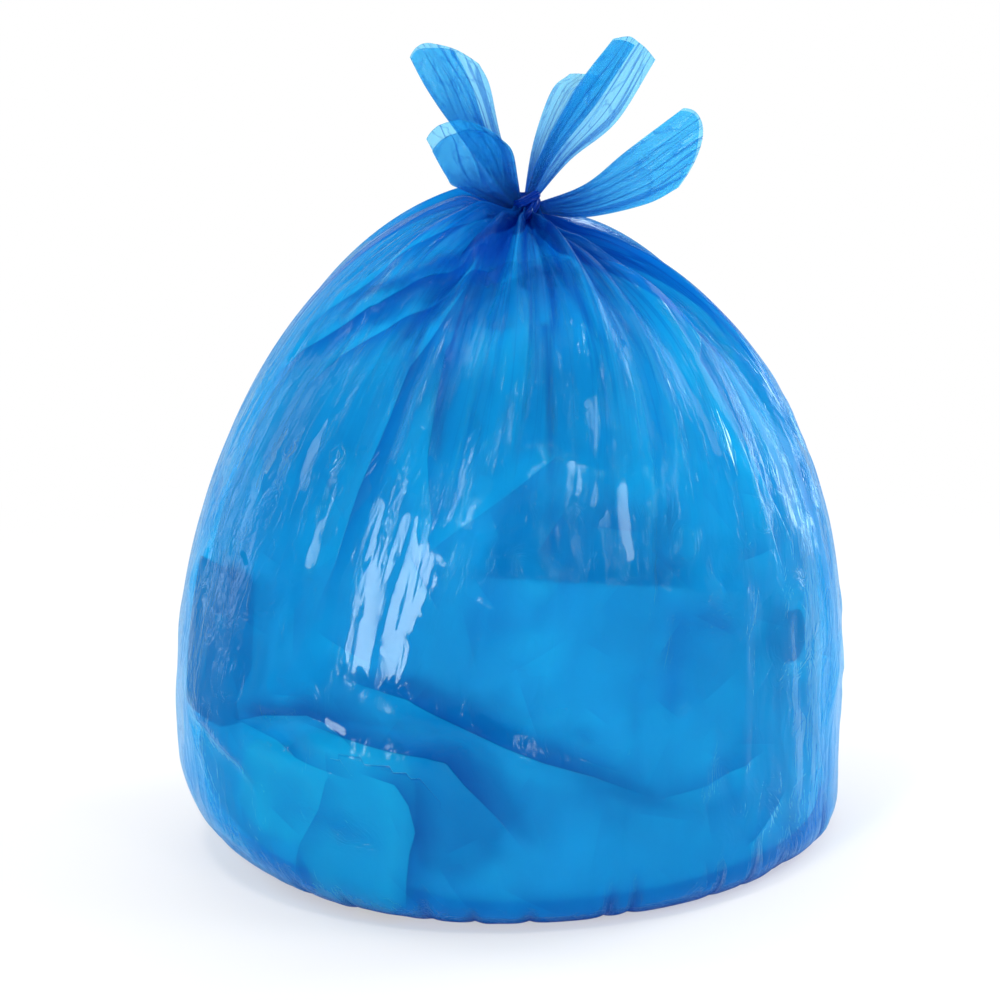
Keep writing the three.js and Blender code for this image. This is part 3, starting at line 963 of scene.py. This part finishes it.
def load_mass(material):
    angle, points, normals, from_knot = sack_table(LOAD_COLUMNS, folded=False)
    lumps = np.zeros((ROWS, LOAD_COLUMNS))
    for _ in range(LOAD_LUMPS):
        count = rng.integers(*LUMP_COUNTS)
        slant = rng.uniform(-LUMP_SLANT, LUMP_SLANT) * np.arange(ROWS)[:, None]
        lumps += np.cos(count * angle[None, :] + slant + rng.uniform(0, PHASES))
    lumps = np.abs(lumps / math.sqrt(LOAD_LUMPS / 2))
    height = points[..., 2]
    depth = LOAD_GAP + LOAD_LUMP * lumps * smoothstep(height, 0, LUMPS_RISE)
    for middle, spread, low, high, deep in HOLLOWS:
        turn = np.degrees(turn_from(angle[None, :], math.radians(middle)))
        tall = smoothstep(height, low - HOLLOW_EDGE, low + HOLLOW_EDGE)
        tall = tall * (1 - smoothstep(height, high - HOLLOW_EDGE, high + HOLLOW_EDGE))
        depth = np.maximum(depth, deep * tall * flat_bell(turn / spread))
    around, along = np.meshgrid(angle, from_knot)
    where = (around, along, np.hypot(points[..., 0], points[..., 1]))
    for deep, spread, path in LOAD_FOLDS:
        far, way = from_line(*where, path)
        depth = depth + deep * window(way, *LOAD_FOLD_WINDOW) * np.exp(-np.abs(far) / spread)
    depth = np.maximum(depth + LOAD_STEP + ledge_relief(*where, LOAD_LEDGES), LOAD_GAP)
    inside = points - normals * depth[..., None]
    share = smoothstep(inside[..., 0], -LOAD_TOP_TURN, LOAD_TOP_TURN)
    top = lerp(LOAD_TOP_LEFT, LOAD_TOP_RIGHT, share) - TOP_LUMP * lumps
    inside[..., 2] = np.where(inside[..., 2] > top, top + TOP_RISE * (inside[..., 2] - top), inside[..., 2])
    faces = ring_faces(ROWS, LOAD_COLUMNS)
    made = mesh_object("load_mass", pressed(ring_points(inside), LOAD_GAP), faces, material)
    # Painted shade in a band above the carton's edge, and painted shade in the load's folds
    far, way = from_line(*where, CARTON_EDGE)
    painted_band_shade = smoothstep(way, *CARTON_SHADE_START) * (1 - smoothstep(way, *CARTON_SHADE_END))
    add_places(made, "load_look", np.stack([far, painted_band_shade / MM, load_shades(*where) / MM], -1))
    return made


def crumpled(shell, amount, size):
    """A shell whose points are pushed about in waves of about this size."""
    points, faces = shell
    push = np.zeros_like(points)
    for _ in range(CRUMPLE_WAVES):
        way = rng.normal(0, 1, 3)
        far = points @ (way / np.linalg.norm(way))
        wave = np.sin(far * TURN / (size * rng.uniform(*CRUMPLE_SIZES)) + rng.uniform(0, PHASES))
        push += np.outer(wave, rng.normal(0, 1, 3))
    return points + push * amount / 3, faces


def box_shell(size, parts=20):
    """A box about its middle, with each face in small squares."""
    step = np.linspace(-0.5, 0.5, parts + 1)
    first, second = (grid.ravel() for grid in np.meshgrid(step, step, indexing="ij"))
    shells = []
    for axis in range(3):
        for end in (-0.5, 0.5):
            points = np.empty((len(first), 3))
            points[:, axis] = end
            points[:, (axis + 1) % 3] = first
            points[:, (axis + 2) % 3] = second
            corner = [r * (parts + 1) + c for r in range(parts) for c in range(parts)]
            loop = (0, parts + 1, parts + 2, 1)
            faces = [tuple(a + k for k in (loop if end > 0 else loop[::-1])) for a in corner]
            shells.append((points * size, faces))
    points, faces = joined(shells)
    spots, index = np.unique(np.round(points, 6), axis=0, return_inverse=True)
    index = index.ravel()
    return spots, [tuple(int(index[corner]) for corner in face) for face in faces]


def turned_shell(outline, sides=64):
    """A round shell about Z from an outline of radius and height, from its top to its base."""
    about = np.linspace(0, TURN, sides, endpoint=False)
    rings = [np.stack([r * np.cos(about), r * np.sin(about), np.full(sides, z)], -1) for r, z in outline]
    points = np.concatenate(rings + [[[0, 0, outline[0][1]]], [[0, 0, outline[-1][1]]]])
    return points, ring_faces(len(outline), sides)


def placed(name, shell, place, turn, material, smooth):
    """A piece of the load, turned by degrees about X, Y and Z, put at a place and pressed into the sack."""
    points, faces = shell
    turned = np.array(Euler([math.radians(angle) for angle in turn]).to_matrix())
    return mesh_object(name, pressed(points @ turned.T + place, PIECE_GAP), faces, material, smooth)


def ball_outline(radius, height):
    turns = np.linspace(math.pi / 2 - 0.1, -math.pi / 2 + 0.1, 24)
    return [(radius * math.cos(t), height * math.sin(t)) for t in turns]


# Pieces of the load: outlines as radius and height, sizes, places and turns in degrees
CAP_OUTLINE = ((20, 5), (20, -5))
TUB_OUTLINE = ((22, 62), (34, 56), (42, 44), (47, 24), (47, 0), (43, -30), (36, -66), (33, -70))
PANEL_SIZE = (66, 30, 108)
BALL_SIZE = (46, 42)
BALL_CRUMPLE = (3, 40)
CAP_PLACE = ((226, -110, 186), (0, 90, -50))
PANEL_PLACE = ((-222, -104, 184), (0, 0, -56))
TUB_PLACE = ((-112, -166, 78), (8, -4, 0))
BALL_PLACE = ((-152, -146, 90), (0, 0, 0))
# Papers: colour and roughness
WHITE_PAPER = ((0.5, 0.53, 0.42, 1), 0.5)
GREY_CAP = ((0.02, 0.025, 0.04, 1), 0.4)
BROWN_CARD = ((0.02, 0.02, 0.03, 1), 0.6)


def load_pieces():
    white = plain_material("white_paper", *WHITE_PAPER)
    grey = plain_material("grey_cap", *GREY_CAP)
    brown = plain_material("brown_card", *BROWN_CARD)
    placed("load_cap", turned_shell(CAP_OUTLINE), *CAP_PLACE, grey, False)
    placed("load_panel", box_shell(PANEL_SIZE), *PANEL_PLACE, brown, False)
    placed("load_tub", turned_shell(TUB_OUTLINE), *TUB_PLACE, white, True)
    ball = crumpled(turned_shell(ball_outline(*BALL_SIZE)), *BALL_CRUMPLE)
    placed("load_ball", ball, *BALL_PLACE, white, True)


# Films: the tint of one layer and of many, the share that is milky and its colour, how rough the gloss is, how
# deep the crinkles are, how far the fine lines reach from the knot in metres, the layers of a line, and the
# share of gathers and veins among the lines
FILMS = {
    "film": dict(
        tint=(0.14, 0.88, 1, 1), folded_tint=(0.001, 0.15, 0.65, 1),
        milk=0.42, milk_colour=(0.002, 0.27, 0.8, 1),
        roughness=0.1, crinkle=0.55, lines_reach=0.36, line_layers=0.8, gather=0.9, vein=0,
    ),
    "ear_film": dict(
        tint=(0.72, 1, 1, 1), folded_tint=(0.004, 0.24, 0.74, 1),
        milk=0.28, milk_colour=(0.02, 0.43, 0.86, 1),
        roughness=0.15, crinkle=1.0, lines_reach=0.3, line_layers=0.9, gather=0, vein=0.35,
    ),
    "knot_film": dict(
        tint=(0.06, 0.4, 0.8, 1), folded_tint=(0.001, 0.05, 0.46, 1),
        milk=0.6, milk_colour=(0.001, 0.06, 0.46, 1),
        roughness=0.2, crinkle=0.6, lines_reach=0.3, line_layers=0.9, gather=0, vein=0,
    ),
}
# The share of each colour that milky film keeps where it is folded
DARK_MILK = (0.4, 0.22, 0.53)
# Shine of the film seen straight on and along it, the shine that a glint adds, how far it turns to the lamps,
# and the gloss's tint
FILM_SHINE = (0.007, 0.5)
SHINE_POWER = 3
GLINT_SHINE = 0.007
GLINT_FACES = 0.85
GLOSS_TINT = (0.74, 0.94, 1, 1)
# Layers that the film's fine lines add on the whole, and how many films light crosses before the next one shows
# plainly
MEAN_LAYERS = 0.15
SHARP_DEPTH = 2.5
# Layers that slanting film adds
SLANT_LAYERS = 0.1
SLANT_LIMIT = 1.25
# Widths of the thin lines in their noises
LONG_LINE_WIDTH = 0.035
GATHER_LINE_WIDTH = 0.045
VEIN_WIDTH = 0.03
# Ranges in metres or of a noise, and the values at their ends
LINES_START = 0.02
GATHERS_FADE = (0.02, 0.14, 1, 0)
FACETS_FADE = (0.26, 0.44, 1, 0.25)
GLINT_RIM = (0, 0.002, 0, 1)
GLINT_BREAKS = (0.38, 0.5, 0, 1)
SMALL_GLINTS = (0.008, 0.02, 1, 0)
# Noises of the film: how they are stretched, how many there are in a metre, their detail and their distortion
STREAKS = ((1, 0.025, 0), 110, 2, 0)
LONG_LINES = ((1, 0.04, 0), 75, 3, 0)
GATHER_LINES = ((1, 0.08, 0), 24, 2, 0.3)
VEINS = ((1, 0.45, 0), 60, 3, 0.6)
GLINT_EDGES = ((1, 0.3, 0), 70, 3, 0.5)
GLINT_STREAKS = ((1, 0.07, 0), 170, 2, 0.3)
BENDS = ((1, 1, 1), 28, 1, 0)
BEND_SIZE = (0.016, 0.05, 0)
# Crumples in the film's bump: how much they are stretched and how many there are in a metre
LARGE_CRUMPLES = ((1, 0.3, 0), 42)
SMALL_CRUMPLES = ((1, 0.35, 0), 120)
BUMP_DISTANCE = 0.0012
STREAK_HEIGHT = 0.6
SMALL_HEIGHT = 0.4
LINE_HEIGHT = 0.35
# Facets of the film: how they are stretched, how many there are in a metre, how far they lean, and the share of
# them that do
FACETS = (
    ((1, 0.07, 0), 60, 0.12, 1),
    ((1, 0.08, 0), 190, 0.1, 1),
    ((1, 0.3, 0), 95, 0.7, 0.22),
)
# How sharp a crease is, and how far the painted shade on its left and painted light on its right reach, in
# metres
CREASE_SHARP = 0.0005
CREASE_DARK = 0.011
CREASE_PALE = 0.018


class Nodes:
    """The nodes of one material. What goes into a node is a number, a colour or another node's output."""

    def __init__(self, tree):
        self.tree = tree

    def add(self, kind, inputs, **settings):
        node = self.tree.nodes.new("ShaderNode" + kind)
        for name, value in settings.items():
            setattr(node, name, value)
        for label, value in inputs.items():
            if isinstance(value, bpy.types.NodeSocket):
                self.tree.links.new(value, node.inputs[label])
            else:
                node.inputs[label].default_value = value
        return node

    def math(self, operation, first, second=0):
        return self.add("Math", {0: first, 1: second}, operation=operation).outputs[0]

    def total(self, first, *others):
        for other in others:
            first = self.math("ADD", first, other)
        return first

    def product(self, first, *others):
        for other in others:
            first = self.math("MULTIPLY", first, other)
        return first

    def less(self, first, second):
        return self.math("SUBTRACT", first, second)

    def vector(self, operation, inputs, out="Vector"):
        return self.add("VectorMath", inputs, operation=operation).outputs[out]

    def ramp(self, value, low, high, to_low, to_high, kind="SMOOTHSTEP"):
        inputs = {"Value": value, "From Min": low, "From Max": high, "To Min": to_low, "To Max": to_high}
        return self.add("MapRange", inputs, interpolation_type=kind).outputs["Result"]

    def parts(self, vector):
        return self.add("SeparateXYZ", {"Vector": vector}).outputs

    def place(self, name):
        """What is stored for each point under a name."""
        return self.add("Attribute", {}, attribute_name=name).outputs["Vector"]

    def stretched(self, vector, stretch):
        return self.add("Mapping", {"Vector": vector, "Scale": stretch}).outputs["Vector"]

    def noise(self, vector, stretch, scale, detail, distortion, out="Fac"):
        inputs = {"Scale": scale, "Detail": detail, "Distortion": distortion}
        return self.add("TexNoise", {"Vector": self.stretched(vector, stretch), **inputs}).outputs[out]

    def cells(self, vector, stretch, scale, distance, out):
        inputs = {"Vector": self.stretched(vector, stretch), "Scale": scale}
        return self.add("TexVoronoi", inputs, voronoi_dimensions="2D", distance=distance).outputs[out]

    def colour(self, factor, first, second):
        inputs = {"Factor": factor, "A": first, "B": second}
        return self.add("Mix", inputs, data_type="RGBA").outputs["Result"]

    def mixed(self, factor, first, second):
        return self.add("MixShader", {0: factor, 1: first, 2: second}).outputs["Shader"]

    def surface(self, shader):
        self.add("OutputMaterial", {"Surface": shader})


def node_material(name):
    material = bpy.data.materials.new(name)
    material.use_nodes = True
    material.node_tree.nodes.clear()
    return material, Nodes(material.node_tree)


def thin_lines(nodes, noise, width):
    """Thin lines where a noise passes its middle."""
    away = nodes.math("ABSOLUTE", nodes.less(noise, 0.5))
    return nodes.ramp(away, 0, width, 1, 0)


def fine_lines(nodes, flow, lines_reach, gather, vein):
    """Fine lines that run down from the knot, fewer on the smooth shoulder, with gathers and veins."""
    around, along, _ = nodes.parts(flow)
    turn = nodes.less(around, math.radians(SMOOTH_ANGLE) * WIDTH / 2 * MM)
    turn = nodes.math("DIVIDE", turn, math.radians(SMOOTH_SPREAD) * WIDTH / 2 * MM)
    puff = nodes.math("EXPONENT", nodes.product(turn, turn, -1))
    gathered_share = nodes.less(1, nodes.product(puff, SMOOTH_SHARE))
    near_knot = nodes.product(nodes.ramp(along, LINES_START, lines_reach, 1, 0), gathered_share)
    lines = nodes.product(thin_lines(nodes, nodes.noise(flow, *LONG_LINES), LONG_LINE_WIDTH), near_knot)
    if gather:
        gathers = thin_lines(nodes, nodes.noise(flow, *GATHER_LINES), GATHER_LINE_WIDTH)
        lines = nodes.total(lines, nodes.product(gathers, nodes.ramp(along, *GATHERS_FADE), gather))
    if vein:
        veins = thin_lines(nodes, nodes.noise(flow, *VEINS), VEIN_WIDTH)
        lines = nodes.total(lines, nodes.product(veins, vein))
    return lines


def crease_shade_and_light(nodes, creases):
    """Painted shade that sharp creases add to the film on their left as layers, less painted light on their
    right.
    """
    layers = 0
    for crease in creases:
        far, more, less = nodes.parts(nodes.place(crease))
        left = nodes.math("EXPONENT", nodes.math("DIVIDE", nodes.math("MINIMUM", far, 0), CREASE_DARK))
        right = nodes.math("EXPONENT", nodes.math("DIVIDE", nodes.math("MAXIMUM", far, 0), -CREASE_PALE))
        left = nodes.product(nodes.ramp(far, -CREASE_SHARP, CREASE_SHARP, 1, 0), left, more)
        right = nodes.product(nodes.ramp(far, -CREASE_SHARP, CREASE_SHARP, 0, 1), right, less)
        layers = nodes.total(nodes.less(left, right), layers)
    return layers


def leaning(nodes, normal, vector, stretch, scale, lean, share, amount):
    """A normal that leans another way in each facet of the film, so that whole facets catch the light."""
    drawn = nodes.cells(vector, stretch, scale, "EUCLIDEAN", "Color")
    leans = nodes.math("LESS_THAN", nodes.add("SeparateColor", {"Color": drawn}).outputs["Blue"], share)
    way = nodes.vector("SUBTRACT", {0: drawn, 1: (0.5, 0.5, 0.5)})
    way = nodes.vector("SCALE", {0: way, "Scale": nodes.product(leans, amount, lean)})
    return nodes.vector("NORMALIZE", {0: nodes.vector("ADD", {0: way, 1: normal})})


def glint_normal(nodes, normal, flow):
    """The normal turned to the lamps in glints, how much of a glint there is, and its share of the shine."""
    within, share, ragged = nodes.parts(nodes.place("glint"))
    edges = nodes.product(nodes.less(nodes.noise(flow, *GLINT_EDGES), 0.5), ragged)
    streaks = nodes.ramp(nodes.noise(flow, *GLINT_STREAKS), *GLINT_BREAKS)
    streaks = nodes.math("MAXIMUM", streaks, nodes.ramp(ragged, *SMALL_GLINTS))
    glint = nodes.product(nodes.ramp(nodes.total(within, edges), *GLINT_RIM), streaks)
    spaces = dict(vector_type="VECTOR", convert_from="OBJECT", convert_to="WORLD")
    facing = nodes.add("VectorTransform", {"Vector": nodes.place("glint_facing")}, **spaces).outputs["Vector"]
    inputs = {"Factor": nodes.product(glint, GLINT_FACES), "A": normal, "B": facing}
    turned = nodes.add("Mix", inputs, data_type="VECTOR").outputs["Result"]
    return nodes.vector("NORMALIZE", {0: turned}), glint, share


def film_colours(nodes, layers, tint, folded_tint, milk, milk_colour, **milky):
    """Film that lets tinted light through and is partly milky, darker where it lies in more layers."""
    folded = nodes.less(1, nodes.math("POWER", 0.5, layers))
    dark_milk = tuple(value * share for value, share in zip(milk_colour, (*DARK_MILK, 1)))
    clear = nodes.add("BsdfTransparent", {"Color": nodes.colour(folded, tint, folded_tint)})
    cloud = nodes.add("BsdfDiffuse", {"Color": nodes.colour(folded, milk_colour, dark_milk), **milky})
    return nodes.mixed(milk, clear.outputs["BSDF"], cloud.outputs["BSDF"])


def film_material(name, creases=(), glints=False):
    """Thin film: tinted where it lets light through, milky and glossy, darker in fine lines and along edges,
    with painted shade and painted light beside its creases.
    """
    look = FILMS[name]
    colours = {key: look[key] for key in ("tint", "folded_tint", "milk", "milk_colour")}
    material, nodes = node_material(name)
    flow = nodes.place("flow")
    _, along, layers = nodes.parts(flow)
    lines = fine_lines(nodes, flow, look["lines_reach"], look["gather"], look["vein"])
    # Painted shade beside the creases and painted light on their other side, as layers; it also dents the bump
    painted_crease_shade = crease_shade_and_light(nodes, creases)
    bends = nodes.noise(flow, *BENDS, out="Color")
    bent = nodes.vector("MULTIPLY_ADD", {0: bends, 1: BEND_SIZE, 2: flow})
    large = nodes.cells(bent, *LARGE_CRUMPLES, "MANHATTAN", "Distance")
    small = nodes.cells(bent, *SMALL_CRUMPLES, "MANHATTAN", "Distance")
    streaks = nodes.product(nodes.noise(flow, *STREAKS), STREAK_HEIGHT)
    height = nodes.total(streaks, nodes.product(small, SMALL_HEIGHT), large)
    height = nodes.less(nodes.less(height, nodes.product(lines, LINE_HEIGHT)), painted_crease_shade)
    bump = {"Strength": look["crinkle"], "Distance": BUMP_DISTANCE, "Height": height}
    normal = nodes.add("Bump", bump).outputs["Normal"]
    amount = nodes.ramp(along, *FACETS_FADE)
    for facet in FACETS:
        normal = leaning(nodes, normal, bent, *facet, amount)
    if glints:
        normal, glint, share = glint_normal(nodes, normal, flow)
    facing = nodes.add("LayerWeight", {"Blend": 0.5, "Normal": normal}).outputs["Facing"]
    shine = nodes.ramp(nodes.math("POWER", facing, SHINE_POWER), 0, 1, *FILM_SHINE)
    if glints:
        shine = nodes.product(shine, nodes.less(1, nodes.product(glint, nodes.less(1, share))))
        shine = nodes.total(shine, nodes.product(glint, share, GLINT_SHINE))
    slant = nodes.product(nodes.math("DIVIDE", facing, nodes.less(SLANT_LIMIT, facing)), SLANT_LAYERS)
    shown = nodes.total(layers, slant, nodes.product(lines, look["line_layers"]), painted_crease_shade)
    body = film_colours(nodes, nodes.math("MAXIMUM", shown, 0), **colours, Normal=normal)
    gloss = {"Color": GLOSS_TINT, "Roughness": look["roughness"], "Normal": normal}
    gloss = nodes.add("BsdfGlossy", gloss, distribution="GGX").outputs["BSDF"]
    plain = film_colours(nodes, nodes.total(layers, MEAN_LAYERS), **colours)
    rays = nodes.add("LightPath", {}).outputs
    behind = nodes.math("GREATER_THAN", rays["Transparent Depth"], SHARP_DEPTH)
    passing = nodes.math("MAXIMUM", rays["Is Shadow Ray"], rays["Is Diffuse Ray"])
    nodes.surface(nodes.mixed(nodes.math("MAXIMUM", passing, behind), nodes.mixed(shine, body, gloss), plain))
    return material


def plain_material(name, colour, roughness):
    material, nodes = node_material(name)
    paper = nodes.add("BsdfPrincipled", {"Base Color": colour, "Roughness": roughness})
    nodes.surface(paper.outputs["BSDF"])
    return material


# Darker and paler patches of the load: the middle and half the size, in metres, and how much paler
WRAPPINGS = (
    ((-0.04, -0.19, 0.085), (0.035, 0.08, 0.05), -0.6),
    ((-0.165, -0.16, 0.09), (0.045, 0.08, 0.05), 0.15),
    ((0.05, -0.2, 0.06), (0.12, 0.1, 0.06), -0.15),
    ((0.13, -0.08, 0.34), (0.1, 0.14, 0.09), 0.4),
    ((-0.13, -0.15, 0.28), (0.08, 0.1, 0.08), -0.15),
)
# Noises of the load, its darkest and palest colour, and ranges in metres: how much paler it is from one height
# to another, how much painted light it has at its top, and how much darker the painted shade by the carton's
# edge is
WRAPPING_EDGE = (0.6, 1.2)
PATCHES = ((1, 1, 1), 14, 3, 0)
CRUMPLES = ((1, 1, 1), 42, 4, 0)
CRUMPLE_SHARE = 0.4
LOAD_COLOURS = ((0.1, 0.11, 0.12, 1), (0.68, 0.69, 0.69, 1))
LOAD_ROUGHNESS = 0.7
LOAD_RISE = (0.1, 0.38, 0.12, -0.04)
LOAD_TOP_LIGHT = (0.38, 0.445, 0, 0.8)
CARTON_SHARP = (-0.0008, 0.0008, 1, 0)
CARTON_BAND = (-0.085, -0.05, 0, 1)
CARTON_SHADE = -0.5


def load_material():
    """Mixed pale refuse in soft patches, darker higher up, with painted light at its top and painted shade in
    folds.
    """
    material, nodes = node_material("mixed_refuse")
    place = nodes.add("TexCoord", {}).outputs["Object"]
    height = nodes.parts(place)["Z"]
    shade = nodes.total(nodes.noise(place, *PATCHES), nodes.ramp(height, *LOAD_RISE, kind="LINEAR"))
    for middle, half, change in WRAPPINGS:
        inputs = {"Vector": place, "Location": middle, "Scale": half}
        away = nodes.add("Mapping", inputs, vector_type="TEXTURE").outputs["Vector"]
        within = nodes.ramp(nodes.vector("LENGTH", {0: away}, "Value"), *WRAPPING_EDGE, change, 0)
        shade = nodes.total(shade, within)
    # Painted shade in a band above the carton's edge and in the load's folds
    far, by_carton, folds = nodes.parts(nodes.place("load_look"))
    painted_band_shade = nodes.product(nodes.ramp(far, *CARTON_SHARP), nodes.ramp(far, *CARTON_BAND))
    painted_band_shade = nodes.product(painted_band_shade, by_carton, CARTON_SHADE)
    fine = nodes.product(nodes.less(nodes.noise(place, *CRUMPLES), 0.5), CRUMPLE_SHARE)
    # Painted shade of the band and the folds, and painted light at the load's top
    shade = nodes.total(shade, painted_band_shade, nodes.ramp(height, *LOAD_TOP_LIGHT), fine, folds)
    colours = nodes.add("ValToRGB", {"Fac": shade})
    for element, colour in zip(colours.color_ramp.elements, LOAD_COLOURS):
        element.color = colour
    paper = {"Base Color": colours.outputs["Color"], "Roughness": LOAD_ROUGHNESS}
    nodes.surface(nodes.add("BsdfPrincipled", paper).outputs["BSDF"])
    return material


# Floor: half its size, and ranges in metres from the sack in which it turns plain white, also in gloss
FLOOR_HALF = 24
FLOOR_DROP = 0.0005
FLOOR_COLOUR = (0.9, 0.9, 0.9, 1)
FLOOR_FADE = (0.35, 1.1, 0.45, 1.0)
FLOOR_GLOSS_FADE = (0.3, 1.0, 0, 1)


def floor_material():
    material, nodes = node_material("pale_floor")
    away = nodes.vector("LENGTH", {0: nodes.add("TexCoord", {}).outputs["Object"]}, "Value")
    rays = nodes.add("LightPath", {}).outputs
    glossy = nodes.product(nodes.ramp(away, *FLOOR_GLOSS_FADE), rays["Is Glossy Ray"])
    seen = nodes.total(rays["Is Camera Ray"], glossy)
    inputs = {0: seen, 1: rays["Is Transmission Ray"]}
    seen = nodes.add("Math", inputs, operation="ADD", use_clamp=True).outputs[0]
    plain = nodes.add("BsdfDiffuse", {"Color": FLOOR_COLOUR}).outputs["BSDF"]
    glow = nodes.add("Emission", {"Strength": 1}).outputs["Emission"]
    nodes.surface(nodes.mixed(nodes.product(seen, nodes.ramp(away, *FLOOR_FADE)), plain, glow))
    return material


def make_floor():
    corners = [(x * FLOOR_HALF, y * FLOOR_HALF, 0) for x, y in ((-1, -1), (1, -1), (1, 1), (-1, 1))]
    mesh = bpy.data.meshes.new("floor")
    mesh.from_pydata(corners, [], [(0, 1, 2, 3)])
    mesh.materials.append(floor_material())
    floor = bpy.data.objects.new("floor", mesh)
    floor.location.z = -FLOOR_DROP
    bpy.context.scene.collection.objects.link(floor)


# Lamps: place and target in metres, width and height, and power
LAMPS = {
    "key_left": ((-1.1, -2.0, 0.58), (0, 0, 0.58), (0.3, 0.95), 24),
    "key_right": ((1.25, -1.9, 0.55), (0, 0, 0.55), (0.3, 0.95), 15),
    "front_top": ((-0.55, -1.05, 2.1), (0, 0, 0.28), (0.3, 0.3), 12),
    "fill_right": ((1.7, -0.55, 1.3), (0, 0, 0.35), (0.5, 1.3), 6),
    "side_right": ((1.8, 0.9, 1.0), (0, 0, 1.0), (0.9, 2.0), 38),
    "side_left": ((-1.9, 0.5, 0.9), (0, 0, 0.9), (0.7, 1.8), 18),
    "overhead": ((0, 0.4, 2.4), (0, 0, 0.28), (1.6, 1.6), 11),
}
# The world's light, from the front to the back
WORLD_LEVEL = (-0.5, 0.2, 0.2, 0.7)
WHITE = (1, 1, 1, 1)


def aim(thing, target):
    thing.rotation_euler = (Vector(target) - thing.location).to_track_quat("-Z", "Y").to_euler()


def softbox(name, place, target, size, power):
    data = bpy.data.lights.new(name, "AREA")
    data.shape = "RECTANGLE"
    data.size, data.size_y = size
    data.energy = power
    lamp = bpy.data.objects.new(name, data)
    lamp.location = place
    aim(lamp, target)
    bpy.context.scene.collection.objects.link(lamp)


def make_light():
    for name, lamp in LAMPS.items():
        softbox(name, *lamp)
    world = bpy.data.worlds.new("studio")
    world.use_nodes = True
    nodes = Nodes(world.node_tree)
    depth = nodes.parts(nodes.add("TexCoord", {}).outputs["Generated"])["Y"]
    back = world.node_tree.nodes["Background"]
    back.inputs["Color"].default_value = WHITE
    world.node_tree.links.new(nodes.ramp(depth, *WORLD_LEVEL, kind="LINEAR"), back.inputs["Strength"])
    bpy.context.scene.world = world


# Camera: the photograph's angle, height and size of the sack in a square picture
CAMERA_ELEVATION = math.radians(15)
CAMERA_DISTANCE = 2.0
CAMERA_TARGET = Vector((-0.0105, 0, 0.262))
CAMERA_LENS = 95.6
CAMERA_SENSOR = 36


def make_camera():
    data = bpy.data.cameras.new("camera")
    data.lens = CAMERA_LENS
    data.sensor_width = CAMERA_SENSOR
    camera = bpy.data.objects.new("camera", data)
    away = Vector((0, -math.cos(CAMERA_ELEVATION), math.sin(CAMERA_ELEVATION)))
    camera.location = CAMERA_TARGET + away * CAMERA_DISTANCE
    aim(camera, CAMERA_TARGET)
    bpy.context.scene.collection.objects.link(camera)
    bpy.context.scene.camera = camera


def main():
    bpy.context.scene.view_settings.view_transform = "Standard"
    make_camera()
    make_floor()
    make_light()
    film = film_material("film", creases=[*CREASES, SMALL_CREASES], glints=True)
    ear_film = film_material("ear_film")
    knot_film = film_material("knot_film")
    body = film_body(film)
    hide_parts("sack")
    pieces = [body, knot(knot_film)]
    pieces += [ear(name, material=ear_film, **sizes) for name, sizes in EARS.items()]
    load_mass(load_material())
    load_pieces()


main()
